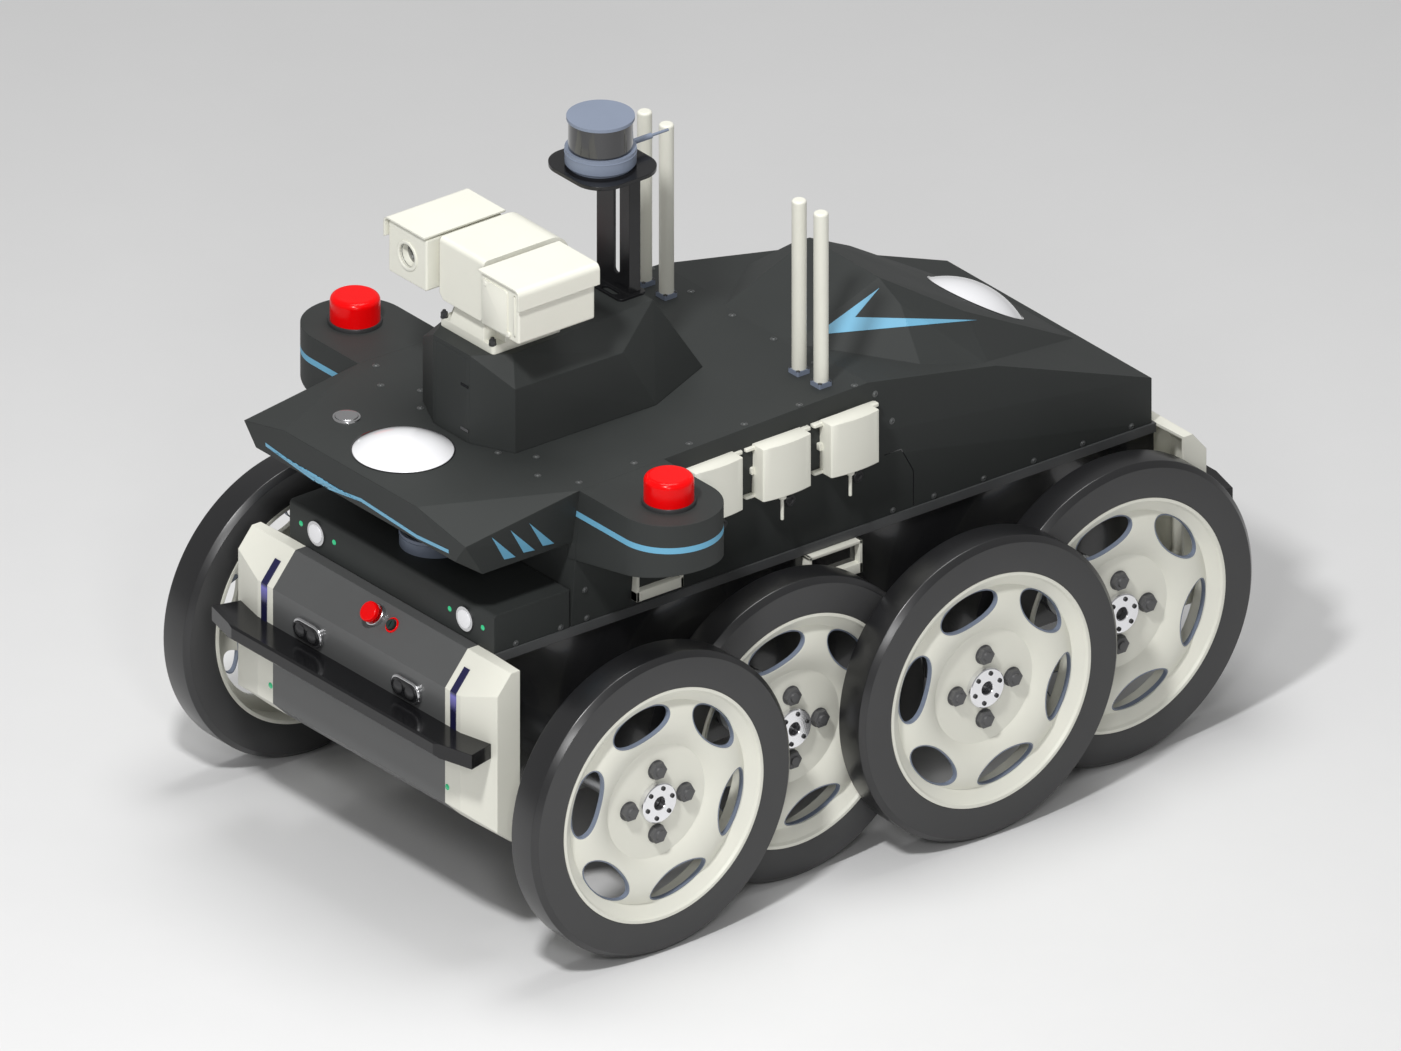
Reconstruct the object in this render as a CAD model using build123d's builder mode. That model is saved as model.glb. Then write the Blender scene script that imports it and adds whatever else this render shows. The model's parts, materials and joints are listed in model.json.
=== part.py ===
"""Eight-wheel patrol robot: hull, faceted shell, camera turret and scanning mast.

Frame: millimetres, +Z up, the front of the robot faces -Y, its left side is +X.
The origin is on the ground, under the middle of the wheelbase.
"""
from build123d import *
import os
from math import atan2, cos, hypot, sin

os.makedirs("parts", exist_ok=True)

SIDES = {"left": 1, "right": -1}
ENDS = {"front": 1, "rear": -1}

# Wheels: two interleaved planes on each side
WHEEL_PITCH = 310.3
STATIONS = [(k - 1.5) * WHEEL_PITCH for k in range(4)]
OUTER_FACE, INNER_FACE = 453.5, 383.0
TYRE_R, TYRE_W, TYRE_CHAMFER = 245.5, 64.0, 8.0
AXLE_Z = TYRE_R
RIM_R, RIM_WALL = 189.0, 6.0
DISC_R, DISC_DEPTH, DISC_T = 92.0, 19.0, 8.0
CROWN_R, CROWN_DEPTH = 128.0, 6.0
SLOPE_R, SLOPE_DEPTH = 164.0, 16.0
WINDOWS, WINDOW_PCD_R, WINDOW_A, WINDOW_B, WINDOW_START = 6, 141.0, 55.0, 25.0, 44.0
HUB_R, HUB_PROUD, SPIGOT_R = 32.0, 10.0, 20.0
BACK_FLANGE_R, BACK_FLANGE_T, BOSS_R, BOSS_L = 64.0, 8.0, 25.0, 15.0
SHAFT_R, SHAFT_END, RUN_GAP = 15.0, 205.0, 0.05
LUGS, LUG_PCD_R, LUG_AF, LUG_H = 4, 53.0, 26.0, 12.0
HUB_SCREWS, HUB_SCREW_PCD_R, HUB_SCREW_R, HUB_SCREW_H = 6, 24.0, 3.5, 2.0
HUB_BORE_R, HUB_BORE_L = 10.5, 14.0

# Lower hull and the drive inside it
HULL_X, HULL_Y, HULL_BOTTOM, HULL_TOP, HULL_WALL = 245.0, 626.0, 190.0, 467.0, 5.0
RAIL_T, RAIL_H = 6.0, 15.0
HOUSING_FLANGE_R, HOUSING_FLANGE_T, HOUSING_R, HOUSING_GAP = 50.0, 10.0, 32.0, 5.0
BEARING_R, BEARING_W, HOUSING_BORE_R = 22.0, 12.0, 18.0
GEARBOX_R, GEARBOX_L, MOTOR_R, MOTOR_L, SOCKET_L = 42.0, 45.0, 36.0, 105.0, 37.0

# Front and rear covers, corner guards and bumpers: one profile in Y and Z
FACE_Y, CREASE_Z, FACE_BOTTOM = 688.4, 414.6, 223.0
TOP_Y, TOP_Z, BASE_Y, BASE_Z = 645.6, 466.6, 660.0, 195.0
COVER_X, GUARD_X, GUARD_SIDE_X = 208.4, 245.5, 314.0
SIDE_Y, SIDE_CREASE_Z, SIDE_BOTTOM, SIDE_BACK_Y = 671.7, 434.8, 208.0, 629.0
COVER_T = 5.0
BUMPER_BOTTOM, BUMPER_TOP, BUMPER_Y, BUMPER_TIP = 330.0, 354.0, 739.4, (315.0, 721.0)
LED_X, LED_W, LED_T, LED_REACH = 229.0, 13.0, 1.5, 0.62
CONTACT_X, CONTACT_Z, CONTACT_L, CONTACT_H = 118.7, 378.0, 70.0, 36.0

# Sensor box above the front cover
BOX_X, BOX_TOP, BOX_BACK = 247.5, 530.0, 483.0
SONAR_X, SONAR_Z, SONAR_R = 180.0, 500.0, 19.5

# Top shell
SHELL_X, DECK_Z, SHELL_T = 247.5, 703.0, 4.0
SHELL_FRONT, SHELL_REAR = -480.0, 620.0
DECK_FRONT_X, DECK_REAR_X, DECK_END = 268.0, 251.0, 79.0
KNEE_Y, KNEE_Z, TAIL_Z = 325.0, 654.0, 542.0
NOSE_Z = 609.0
HUMP_X, HUMP_FRONT, HUMP_PEAK_Y, HUMP_PEAK_Z, HUMP_SLOPE = 84.0, 63.0, 231.0, 766.0, 0.585
HUMP_END = 612.0
DOME_R, DOME_H, FRONT_DOME_Y, REAR_DOME_Y = 76.5, 24.0, -605.0, 479.6
BUTTON_X, BUTTON_Y, BUTTON_R, BUTTON_TRAVEL = -138.0, -604.0, 17.0, 3.0

# Beacon pods
POD_X, POD_Y, POD_R = 380.0, -398.5, 82.0
POD_ROOT_X, POD_BOTTOM, POD_RISE = 240.0, 579.0, 0.195
BEACON_R, BEACON_H = 38.0, 46.0

# Turret, pan and tilt camera
TURRET_TOP = 850.0
PROW_X, PROW_FRONT, PROW_BACK, PROW_R, PROW_TOP = 50.0, -514.0, -470.0, 14.0, 842.0
PAN_Y, PLATE_W, PLATE_T, BLOCK_TOP, SPINDLE_R = -420.0, 130.0, 14.0, 900.0, 20.0
BODY_X, BODY_FRONT, BODY_BACK, BODY_BOTTOM, BODY_TOP = 53.5, -494.0, -332.0, 902.0, 1004.0
TILT_Y, TILT_Z, TILT_R = -437.0, 954.0, 12.0
HEAD_X, HEAD_W, HEAD_L, HEAD_H, HEAD_T = 112.0, 92.0, 144.0, 86.0, 4.0
LENS_R = 20.0

# Mast and scanner
SCAN_Y, MAST_FRONT, MAST_BACK, MAST_X, MAST_T = -230.6, -207.0, -186.0, 37.5, 4.0
MAST_PLATE_Z, MAST_PLATE_T = 1060.0, 6.0
SCAN_BASE_R, SCAN_R, SCAN_CAP_R = 54.0, 49.0, 51.4
SCAN_SEAT_Z, SCAN_BASE_Z, SCAN_GLASS_Z, SCAN_CAP_Z, SCAN_TOP = 1066.0, 1071.0, 1095.0, 1142.0, 1147.0
SEAT_R, POST_R, POST_L, ROTOR_R, ROTOR_L = 50.0, 5.0, 43.0, 40.0, 32.0
NOSE_SCAN_Y = -544.0
SCANNERS = {"scanner_rotor": (SCAN_Y, 0.0), "nose_scanner_rotor": (NOSE_SCAN_Y, BOX_TOP - SCAN_BASE_Z)}

# Antennas and junction boxes
ANTENNA_XS, ANTENNA_Y, ANTENNA_R, FOOT_W, FOOT_H, ANTENNA_L = (160.7, 213.7), 20.0, 11.4, 24.0, 8.0, 281.0
JBOX_PITCH, JBOX_LAST_Y, JBOX_W, JBOX_BOTTOM, JBOX_H, JBOX_FACE = 129.0, 27.5, 91.0, 588.0, 87.0, 293.0
GLAND_R, GLAND_L, PROBE_R, PROBE_L, PROBE_INSET = 7.0, 9.0, 2.5, 42.0, 11.0


def save(piece, label):
    """Label a finished piece and write it as the node of that name."""
    piece.part.label = label
    export_step(piece.part, f"parts/{label}.step")


def both(points):
    """The points and their mirror images across the robot's middle plane."""
    return points + [(-x, y, z) for x, y, z in points]


def profile_plane(side, face_x, y):
    """Sketch plane of a wheel section: local x is the radius, local y the depth inwards."""
    return Plane(origin=(side * face_x, y, AXLE_Z), x_dir=(0, 1, 0), z_dir=(0, 0, side))


def face_plane(side, face_x, y):
    """Plane of a wheel's face, looking out of the robot."""
    return Plane(origin=(side * face_x, y, AXLE_Z), x_dir=(0, 1, 0), z_dir=(side, 0, 0))


def wheel_axis(y):
    return Axis((0, y, AXLE_Z), (1, 0, 0))


def wheels():
    """Every wheel as (name, side, outer face, Y station)."""
    for side_name, side in SIDES.items():
        for k, y in enumerate(STATIONS):
            face_x = OUTER_FACE if k % 2 == 0 else INNER_FACE
            yield f"{side_name}_{k + 1}", side, face_x, y


def make_tyre(name, side, face_x, y):
    with BuildPart() as tyre:
        with BuildSketch(profile_plane(side, face_x, y)):
            with BuildLine():
                Polyline(
                    (RIM_R, 0),
                    (TYRE_R - TYRE_CHAMFER, 0),
                    (TYRE_R, TYRE_CHAMFER),
                    (TYRE_R, TYRE_W - TYRE_CHAMFER),
                    (TYRE_R - TYRE_CHAMFER, TYRE_W),
                    (RIM_R, TYRE_W),
                    close=True,
                )
            make_face()
        revolve(axis=wheel_axis(y))
    save(tyre, f"tyre_{name}")


def make_rim(name, side, face_x, y):
    back = DISC_DEPTH + DISC_T
    barrel_r = RIM_R - RIM_WALL
    with BuildPart() as rim:
        with BuildSketch(profile_plane(side, face_x, y)):
            with BuildLine():
                Line((SPIGOT_R, DISC_DEPTH), (DISC_R, DISC_DEPTH))
                ThreePointArc((DISC_R, DISC_DEPTH), (CROWN_R, CROWN_DEPTH), (SLOPE_R, SLOPE_DEPTH))
                Polyline(
                    (SLOPE_R, SLOPE_DEPTH),
                    (barrel_r - 2, 4),
                    (barrel_r + 1, 0),
                    (RIM_R, 0),
                    (RIM_R, TYRE_W),
                    (barrel_r, TYRE_W),
                    (barrel_r, back),
                    (SLOPE_R - 2, back),
                )
                ThreePointArc((SLOPE_R - 2, back), (CROWN_R, CROWN_DEPTH + DISC_T), (DISC_R + 2, back))
                Polyline((DISC_R + 2, back), (SPIGOT_R, back), (SPIGOT_R, DISC_DEPTH))
            make_face()
        revolve(axis=wheel_axis(y))
        with BuildSketch(face_plane(side, face_x, y)):
            with PolarLocations(WINDOW_PCD_R, WINDOWS, start_angle=side * WINDOW_START):
                Ellipse(WINDOW_B, WINDOW_A)
        extrude(amount=-TYRE_W, mode=Mode.SUBTRACT)
    save(rim, f"rim_{name}")


def make_hub(name, side, face_x, y):
    """Hub flange, spigot, back flange and drive shaft in one, with its lug bolts and screws."""
    back = DISC_DEPTH + DISC_T
    boss_start = back + BACK_FLANGE_T
    front = DISC_DEPTH - HUB_PROUD
    with BuildPart() as hub:
        with BuildSketch(profile_plane(side, face_x, y)):
            with BuildLine():
                Polyline(
                    (0, front),
                    (HUB_R, front),
                    (HUB_R, DISC_DEPTH),
                    (SPIGOT_R, DISC_DEPTH),
                    (SPIGOT_R, back),
                    (BACK_FLANGE_R, back),
                    (BACK_FLANGE_R, boss_start),
                    (BOSS_R, boss_start),
                    (BOSS_R, boss_start + BOSS_L),
                    (SHAFT_R, boss_start + BOSS_L),
                    (SHAFT_R, face_x - SHAFT_END),
                    (0, face_x - SHAFT_END),
                    close=True,
                )
            make_face()
        revolve(axis=wheel_axis(y))
        with BuildSketch(face_plane(side, face_x - front, y)):
            Circle(HUB_BORE_R)
        extrude(amount=-HUB_BORE_L, mode=Mode.SUBTRACT)
        with BuildSketch(face_plane(side, face_x - front, y)):
            with PolarLocations(HUB_SCREW_PCD_R, HUB_SCREWS, start_angle=15):
                Circle(HUB_SCREW_R)
        extrude(amount=HUB_SCREW_H)
        with BuildSketch(face_plane(side, face_x - DISC_DEPTH, y)):
            with PolarLocations(LUG_PCD_R, LUGS):
                RegularPolygon(LUG_AF / 2, 6, major_radius=False)
        extrude(amount=LUG_H)
    save(hub, f"hub_{name}")


def make_lower_hull():
    with BuildPart() as lower_hull:
        with BuildSketch(Plane.XY.offset(HULL_BOTTOM)):
            Rectangle(2 * HULL_X, 2 * HULL_Y)
        extrude(amount=HULL_TOP - HULL_BOTTOM)
        with BuildSketch(Plane.XY.offset(HULL_BOTTOM + HULL_WALL)):
            Rectangle(2 * (HULL_X - HULL_WALL), 2 * (HULL_Y - HULL_WALL))
        extrude(amount=HULL_TOP, mode=Mode.SUBTRACT)
        for side in SIDES.values():
            with BuildSketch(face_plane(side, HULL_X, 0)):
                with Locations(*[(y, 0) for y in STATIONS]):
                    Circle(HOUSING_BORE_R)
            extrude(amount=-HULL_WALL, mode=Mode.SUBTRACT)
    save(lower_hull, "lower_hull")


def make_side_rails():
    with BuildPart() as rails:
        with BuildSketch(Plane.XY.offset(HULL_TOP - RAIL_H)):
            with Locations((HULL_X + RAIL_T / 2, 0), (-HULL_X - RAIL_T / 2, 0)):
                Rectangle(RAIL_T, 2 * HULL_Y)
        extrude(amount=RAIL_H)
    save(rails, "side_rails")


def housing_end(face_x):
    return face_x - TYRE_W - HOUSING_GAP


def make_axle_housings():
    with BuildPart() as housings:
        for _, side, face_x, y in wheels():
            end = housing_end(face_x)
            length = end - HULL_X
            with BuildSketch(face_plane(side, HULL_X, y)):
                Circle(HOUSING_FLANGE_R)
                Circle(HOUSING_BORE_R, mode=Mode.SUBTRACT)
            extrude(amount=HOUSING_FLANGE_T)
            with BuildSketch(face_plane(side, HULL_X, y)):
                Circle(HOUSING_R)
                Circle(HOUSING_BORE_R, mode=Mode.SUBTRACT)
            extrude(amount=length)
            with BuildSketch(face_plane(side, end, y)):
                Circle(BEARING_R)
            extrude(amount=-BEARING_W, mode=Mode.SUBTRACT)
            with BuildSketch(face_plane(side, HULL_X, y)):
                Circle(BEARING_R)
            extrude(amount=BEARING_W, mode=Mode.SUBTRACT)
    save(housings, "axle_housings")


def make_wheel_bearings():
    with BuildPart() as bearings:
        for _, side, face_x, y in wheels():
            for start in (HULL_X + BEARING_W, housing_end(face_x)):
                with BuildSketch(face_plane(side, start, y)):
                    Circle(BEARING_R)
                    Circle(SHAFT_R + RUN_GAP, mode=Mode.SUBTRACT)
                extrude(amount=-BEARING_W)
    save(bearings, "wheel_bearings")


def make_gear_motors():
    mount_x = HULL_X - HULL_WALL
    with BuildPart() as motors:
        for _, side, _, y in wheels():
            with BuildSketch(face_plane(side, mount_x, y)):
                Circle(GEARBOX_R)
            extrude(amount=-GEARBOX_L)
            with BuildSketch(face_plane(side, mount_x - GEARBOX_L, y)):
                Circle(MOTOR_R)
            extrude(amount=-MOTOR_L)
            with BuildSketch(face_plane(side, mount_x, y)):
                Circle(SHAFT_R + RUN_GAP)
            extrude(amount=-SOCKET_L, mode=Mode.SUBTRACT)
    save(motors, "gear_motors")


def make_inner_boxes():
    """Battery packs and controller box on the hull's floor, between the motors."""
    floor = HULL_BOTTOM + HULL_WALL
    with BuildPart() as battery:
        with BuildSketch(Plane.XY.offset(floor)):
            with Locations((0, 0), (0, -WHEEL_PITCH)):
                Rectangle(400, 200)
        extrude(amount=150)
        fillet(battery.edges().filter_by(Axis.Z), 8)
    save(battery, "battery_packs")
    with BuildPart() as controller:
        with BuildSketch(Plane.XY.offset(floor)):
            with Locations((0, WHEEL_PITCH)):
                Rectangle(360, 210)
        extrude(amount=120)
        fillet(controller.edges().filter_by(Axis.Z), 5)
    save(controller, "controller_box")


def cover_section(inset=0.0):
    """Outline of a front cover in (-Y, Z), shrunk by a wall where inset is given."""
    return [
        (HULL_Y, TOP_Z - inset),
        (TOP_Y - inset * 0.5, TOP_Z - inset),
        (FACE_Y - inset, CREASE_Z - inset * 0.5),
        (FACE_Y - inset, FACE_BOTTOM + inset * 0.5),
        (BASE_Y - inset * 0.5, BASE_Z + inset),
        (HULL_Y, BASE_Z + inset),
    ]


def slant_plane(x, along, end=1):
    """Plane on the slanted face, 'along' its height from 0 at the crease to 1 at the top."""
    y = FACE_Y + along * (TOP_Y - FACE_Y)
    z = CREASE_Z + along * (TOP_Z - CREASE_Z)
    normal = (0, -end * (TOP_Z - CREASE_Z), FACE_Y - TOP_Y)
    return Plane(origin=(x, -end * y, z), x_dir=(1, 0, 0), z_dir=normal)


ESTOP_PLANE = slant_plane(8, 0.63)
KEY_PLANE = slant_plane(47, 0.62)
ESTOP_COLLAR_R, ESTOP_COLLAR_H, ESTOP_BARREL_R, ESTOP_BARREL_L = 17.0, 7.0, 12.0, 24.0
ESTOP_STEM_R, ESTOP_CAP_R, ESTOP_CAP_H, ESTOP_TRAVEL = 8.0, 16.0, 10.0, 5.0
KEY_R, KEY_HEAD_R, KEY_L = 6.0, 8.0, 16.0


def make_end_covers():
    with BuildPart() as covers:
        for end in ENDS.values():
            for inset, mode in ((0.0, Mode.ADD), (COVER_T, Mode.SUBTRACT)):
                with BuildSketch(Plane.YZ.offset(-COVER_X + inset)):
                    with BuildLine():
                        Polyline(*[(-end * y, z) for y, z in cover_section(inset)], close=True)
                    make_face()
                extrude(amount=2 * (COVER_X - inset), mode=mode)
        with BuildSketch(ESTOP_PLANE):
            Circle(ESTOP_BARREL_R)
        extrude(amount=-2 * COVER_T, mode=Mode.SUBTRACT)
        with BuildSketch(KEY_PLANE):
            Circle(KEY_R + RUN_GAP)
        extrude(amount=-2 * COVER_T, mode=Mode.SUBTRACT)
    save(covers, "end_covers")


def guard_points(side, end, inset=0.0):
    """Corners of one corner guard: the cover's section, swept back at its outer side."""
    near = [(GUARD_X, y, z) for y, z in cover_section(inset)]
    back = SIDE_BACK_Y - 2 * inset
    far_x = GUARD_SIDE_X - inset
    far = [
        (far_x, back, TOP_Z - inset),
        (far_x, TOP_Y - inset * 0.5, TOP_Z - inset),
        (far_x, SIDE_Y - inset, SIDE_CREASE_Z - inset * 0.5),
        (far_x, SIDE_Y - inset, SIDE_BOTTOM + inset * 0.5),
        (far_x, SIDE_Y - 27, 185.0 + inset),
        (far_x, back, 185.0 + inset),
    ]
    far += [(GUARD_X + 3, back, TOP_Z - inset), (GUARD_X + 3, back, 190.0 + inset)]
    return [(side * x, -end * y, z) for x, y, z in near + far]


def make_corner_guards():
    with BuildPart() as guards:
        for side in SIDES.values():
            for end in ENDS.values():
                for inset, mode in ((0.0, Mode.ADD), (COVER_T, Mode.SUBTRACT)):
                    section = cover_section(inset)
                    near_x = COVER_X + inset
                    strip = [(side * x, -end * y, z) for x in (near_x, GUARD_X) for y, z in section]
                    add(ConvexPolyhedron(strip, mode=Mode.PRIVATE), mode=mode)
                    add(ConvexPolyhedron(guard_points(side, end, inset), mode=Mode.PRIVATE), mode=mode)
        Box(2 * (GUARD_X + 1), 2 * HULL_Y, 2 * DECK_Z, mode=Mode.SUBTRACT)
    save(guards, "corner_guards")


def make_led_strips():
    slant = hypot(FACE_Y - TOP_Y, TOP_Z - CREASE_Z)
    out_y = LED_T * (TOP_Z - CREASE_Z) / slant
    out_z = LED_T * (FACE_Y - TOP_Y) / slant
    top_y = FACE_Y + LED_REACH * (TOP_Y - FACE_Y)
    top_z = CREASE_Z + LED_REACH * (TOP_Z - CREASE_Z)
    with BuildPart() as strips:
        for side in SIDES.values():
            for end in ENDS.values():
                with BuildSketch(Plane.YZ.offset(side * LED_X - LED_W / 2)):
                    with BuildLine():
                        outline = [
                            (FACE_Y, BUMPER_TOP),
                            (FACE_Y, CREASE_Z),
                            (top_y, top_z),
                            (top_y + out_y, top_z + out_z),
                            (FACE_Y + LED_T, CREASE_Z + LED_T / 2),
                            (FACE_Y + LED_T, BUMPER_TOP),
                        ]
                        Polyline(*[(-end * y, z) for y, z in outline], close=True)
                    make_face()
                extrude(amount=LED_W)
    save(strips, "led_strips")


def make_bumpers():
    tip_x, tip_y = BUMPER_TIP
    half = [(GUARD_X - 1.5, BUMPER_Y), (tip_x, tip_y), (tip_x - 12, 675.5), (GUARD_X, FACE_Y)]
    outline = half + [(-x, y) for x, y in reversed(half)]
    with BuildPart() as bumpers:
        for end in ENDS.values():
            with BuildSketch(Plane.XY.offset(BUMPER_BOTTOM)):
                with BuildLine():
                    Polyline(*[(x, -end * y) for x, y in outline], close=True)
                make_face()
            extrude(amount=BUMPER_TOP - BUMPER_BOTTOM)
        rims = bumpers.faces().filter_by(Axis.Y).sort_by(Axis.Y)
        front_edges = rims[0].edges().filter_by(Axis.X)
        rear_edges = rims[-1].edges().filter_by(Axis.X)
        chamfer(front_edges + rear_edges, 3)
    save(bumpers, "bumpers")


def make_docking_contacts():
    with BuildPart() as contacts:
        with BuildSketch(Plane.XZ.offset(FACE_Y)):
            with Locations((CONTACT_X, CONTACT_Z), (-CONTACT_X, CONTACT_Z)):
                SlotOverall(CONTACT_L, CONTACT_H)
        extrude(amount=7)
        fillet(contacts.faces().sort_by(Axis.Y)[:2].edges(), 3)
        with BuildSketch(Plane.XZ.offset(FACE_Y + 7)):
            with Locations((CONTACT_X, CONTACT_Z), (-CONTACT_X, CONTACT_Z)):
                with Locations((-15, 0), (15, 0)):
                    Circle(9)
        extrude(amount=-4, mode=Mode.SUBTRACT)
    save(contacts, "docking_contacts")


def make_sensor_box():
    with BuildPart() as box:
        with BuildSketch(Plane.XY.offset(HULL_TOP)):
            with Locations((0, -(HULL_Y + BOX_BACK) / 2)):
                Rectangle(2 * BOX_X, HULL_Y - BOX_BACK)
        extrude(amount=BOX_TOP - HULL_TOP)
        fillet(box.edges().filter_by(Axis.X).group_by(Axis.Z)[-1].sort_by(Axis.Y)[0], 6)
        with BuildSketch(Plane.XY.offset(HULL_TOP)):
            with Locations((0, -(HULL_Y + BOX_BACK) / 2)):
                Rectangle(2 * (BOX_X - COVER_T), HULL_Y - BOX_BACK - 2 * COVER_T)
        extrude(amount=BOX_TOP - HULL_TOP - COVER_T, mode=Mode.SUBTRACT)
        with BuildSketch(Plane.XZ.offset(HULL_Y)):
            with Locations((SONAR_X, SONAR_Z), (-SONAR_X, SONAR_Z)):
                Circle(SONAR_R - 4)
        extrude(amount=-COVER_T, mode=Mode.SUBTRACT)
    save(box, "sensor_box")
    with BuildPart() as sonars:
        with BuildSketch(Plane.XZ.offset(HULL_Y)):
            with Locations((SONAR_X, SONAR_Z), (-SONAR_X, SONAR_Z)):
                Circle(SONAR_R)
        extrude(amount=4)
        with BuildSketch(Plane.XZ.offset(HULL_Y)):
            with Locations((SONAR_X, SONAR_Z), (-SONAR_X, SONAR_Z)):
                Circle(SONAR_R - 4)
        extrude(amount=-24)
        with BuildSketch(Plane.XZ.offset(HULL_Y + 4)):
            with Locations((SONAR_X, SONAR_Z), (-SONAR_X, SONAR_Z)):
                Circle(SONAR_R - 6)
        extrude(amount=-2, mode=Mode.SUBTRACT)
    save(sonars, "ultrasonic_sensors")


def make_emergency_stop():
    with BuildPart() as base:
        with BuildSketch(ESTOP_PLANE):
            Circle(ESTOP_COLLAR_R)
        extrude(amount=ESTOP_COLLAR_H)
        with BuildSketch(ESTOP_PLANE):
            Circle(ESTOP_BARREL_R)
        extrude(amount=-ESTOP_BARREL_L)
        with BuildSketch(ESTOP_PLANE.offset(ESTOP_COLLAR_H)):
            Circle(ESTOP_STEM_R + RUN_GAP)
        extrude(amount=-ESTOP_COLLAR_H - ESTOP_BARREL_L + 3, mode=Mode.SUBTRACT)
    save(base, "estop_base")
    with BuildPart() as button:
        with BuildSketch(ESTOP_PLANE.offset(ESTOP_COLLAR_H + ESTOP_TRAVEL)):
            Circle(ESTOP_CAP_R)
        extrude(amount=ESTOP_CAP_H)
        fillet(button.edges().filter_by(GeomType.CIRCLE), 3)
        with BuildSketch(ESTOP_PLANE.offset(ESTOP_COLLAR_H + ESTOP_TRAVEL)):
            Circle(ESTOP_STEM_R)
        extrude(amount=-ESTOP_COLLAR_H - ESTOP_TRAVEL - 10)
    save(button, "estop_button")
    with BuildPart() as key:
        with BuildSketch(KEY_PLANE.offset(1)):
            Circle(KEY_HEAD_R)
        extrude(amount=5)
        with BuildSketch(KEY_PLANE.offset(1)):
            Circle(KEY_R)
        extrude(amount=-KEY_L)
        with BuildSketch(KEY_PLANE.offset(6)):
            Rectangle(2, 9)
        extrude(amount=-3, mode=Mode.SUBTRACT)
    save(key, "key_switch")


def shell_body(wall=0.0):
    """Main body of the shell as a convex solid, shrunk by a wall."""
    bottom = HULL_TOP - (1 if wall else 0)
    points = [
        (SHELL_X - wall, SHELL_FRONT + wall, bottom),
        (SHELL_X - wall, SHELL_REAR - wall, bottom),
        (DECK_FRONT_X - wall, SHELL_FRONT + wall, DECK_Z - wall),
        (DECK_REAR_X - wall, DECK_END, DECK_Z - wall),
        (SHELL_X - wall, KNEE_Y, KNEE_Z - wall),
        (SHELL_X - wall, SHELL_REAR - wall, TAIL_Z - wall),
    ]
    return ConvexPolyhedron(both(points), mode=Mode.PRIVATE)


def shell_nose(wall=0.0):
    """Overhanging nose, with folded corners."""
    points = [
        (161 - wall, -705 + wall, DECK_Z - wall),
        (DECK_FRONT_X - wall, SHELL_FRONT + 2 * wall, DECK_Z - wall),
        (268 - 1.5 * wall, -696.5 + 1.5 * wall, 675),
        (241 - wall, -695 + wall, 640 + wall / 2),
        (250 - wall, -650 + wall, NOSE_Z + wall),
        (250 - wall, SHELL_FRONT + 2 * wall, NOSE_Z + wall),
    ]
    return ConvexPolyhedron(both(points), mode=Mode.PRIVATE)


def hump_z(y):
    """Height of the hump's sloping back."""
    return HUMP_PEAK_Z - HUMP_SLOPE * (y - HUMP_PEAK_Y)


def shell_hump(wall=0.0):
    """Raised rear hump with a flat-topped ramp in front and a sloping back."""
    points = [
        (HUMP_X - wall, HUMP_FRONT + 3 * wall, DECK_Z - 2),
        (HUMP_X - wall, HUMP_PEAK_Y, HUMP_PEAK_Z - wall),
        (130 - wall, 236, 738 - wall),
        (150 - wall, 240, 716 - wall),
        (138 - wall, 350, 694 - wall),
        (HUMP_X - 4 - wall, HUMP_END, hump_z(HUMP_END) - wall),
        (240 - wall, KNEE_Y - 4, 650 - wall),
        (215 - wall, 210, 672 - wall),
        (66 - wall, 560, 560 - wall),
        (HUMP_X - wall, HUMP_FRONT + 3 * wall, 640),
    ]
    return ConvexPolyhedron(both(points), mode=Mode.PRIVATE)


def make_top_shell():
    with BuildPart() as shell:
        for wall, mode in ((0.0, Mode.ADD), (SHELL_T, Mode.SUBTRACT)):
            add(shell_body(wall), mode=mode)
            add(shell_nose(wall), mode=mode)
            add(shell_hump(wall), mode=mode)
        with BuildSketch(Plane.XY.offset(DECK_Z)):
            with Locations((BUTTON_X, BUTTON_Y)):
                Circle(BUTTON_R + RUN_GAP)
        extrude(amount=-2 * SHELL_T, mode=Mode.SUBTRACT)
    save(shell, "top_shell")


def turret_points(wall=0.0):
    points = [
        (44.5 - wall / 2, -513 + wall, DECK_Z),
        (112 - wall, -480 + wall, DECK_Z),
        (115 - wall, -215 - wall / 2, DECK_Z),
        (57 - wall, -81.7 - wall, DECK_Z),
        (44.5 - wall / 2, -513 + wall, TURRET_TOP - wall),
        (112 - wall, -480 + wall, 810 - wall),
        (112 - wall, -276, 808 - wall),
        (79 - wall, -458, TURRET_TOP - wall),
        (66 - wall, -183, TURRET_TOP - wall),
    ]
    if wall:
        points += [(x, y, DECK_Z - 1) for x, y, z in points if z == DECK_Z]
    return both(points)


def make_turret_shell():
    with BuildPart() as turret:
        add(ConvexPolyhedron(turret_points(), mode=Mode.PRIVATE))
        add(ConvexPolyhedron(turret_points(SHELL_T), mode=Mode.PRIVATE), mode=Mode.SUBTRACT)
        with BuildSketch(Plane.XY.offset(DECK_Z)):
            with Locations((0, (PROW_FRONT + PROW_BACK) / 2)):
                RectangleRounded(2 * PROW_X, PROW_BACK - PROW_FRONT, PROW_R)
        extrude(amount=PROW_TOP - DECK_Z)
    save(turret, "turret_shell")


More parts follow.
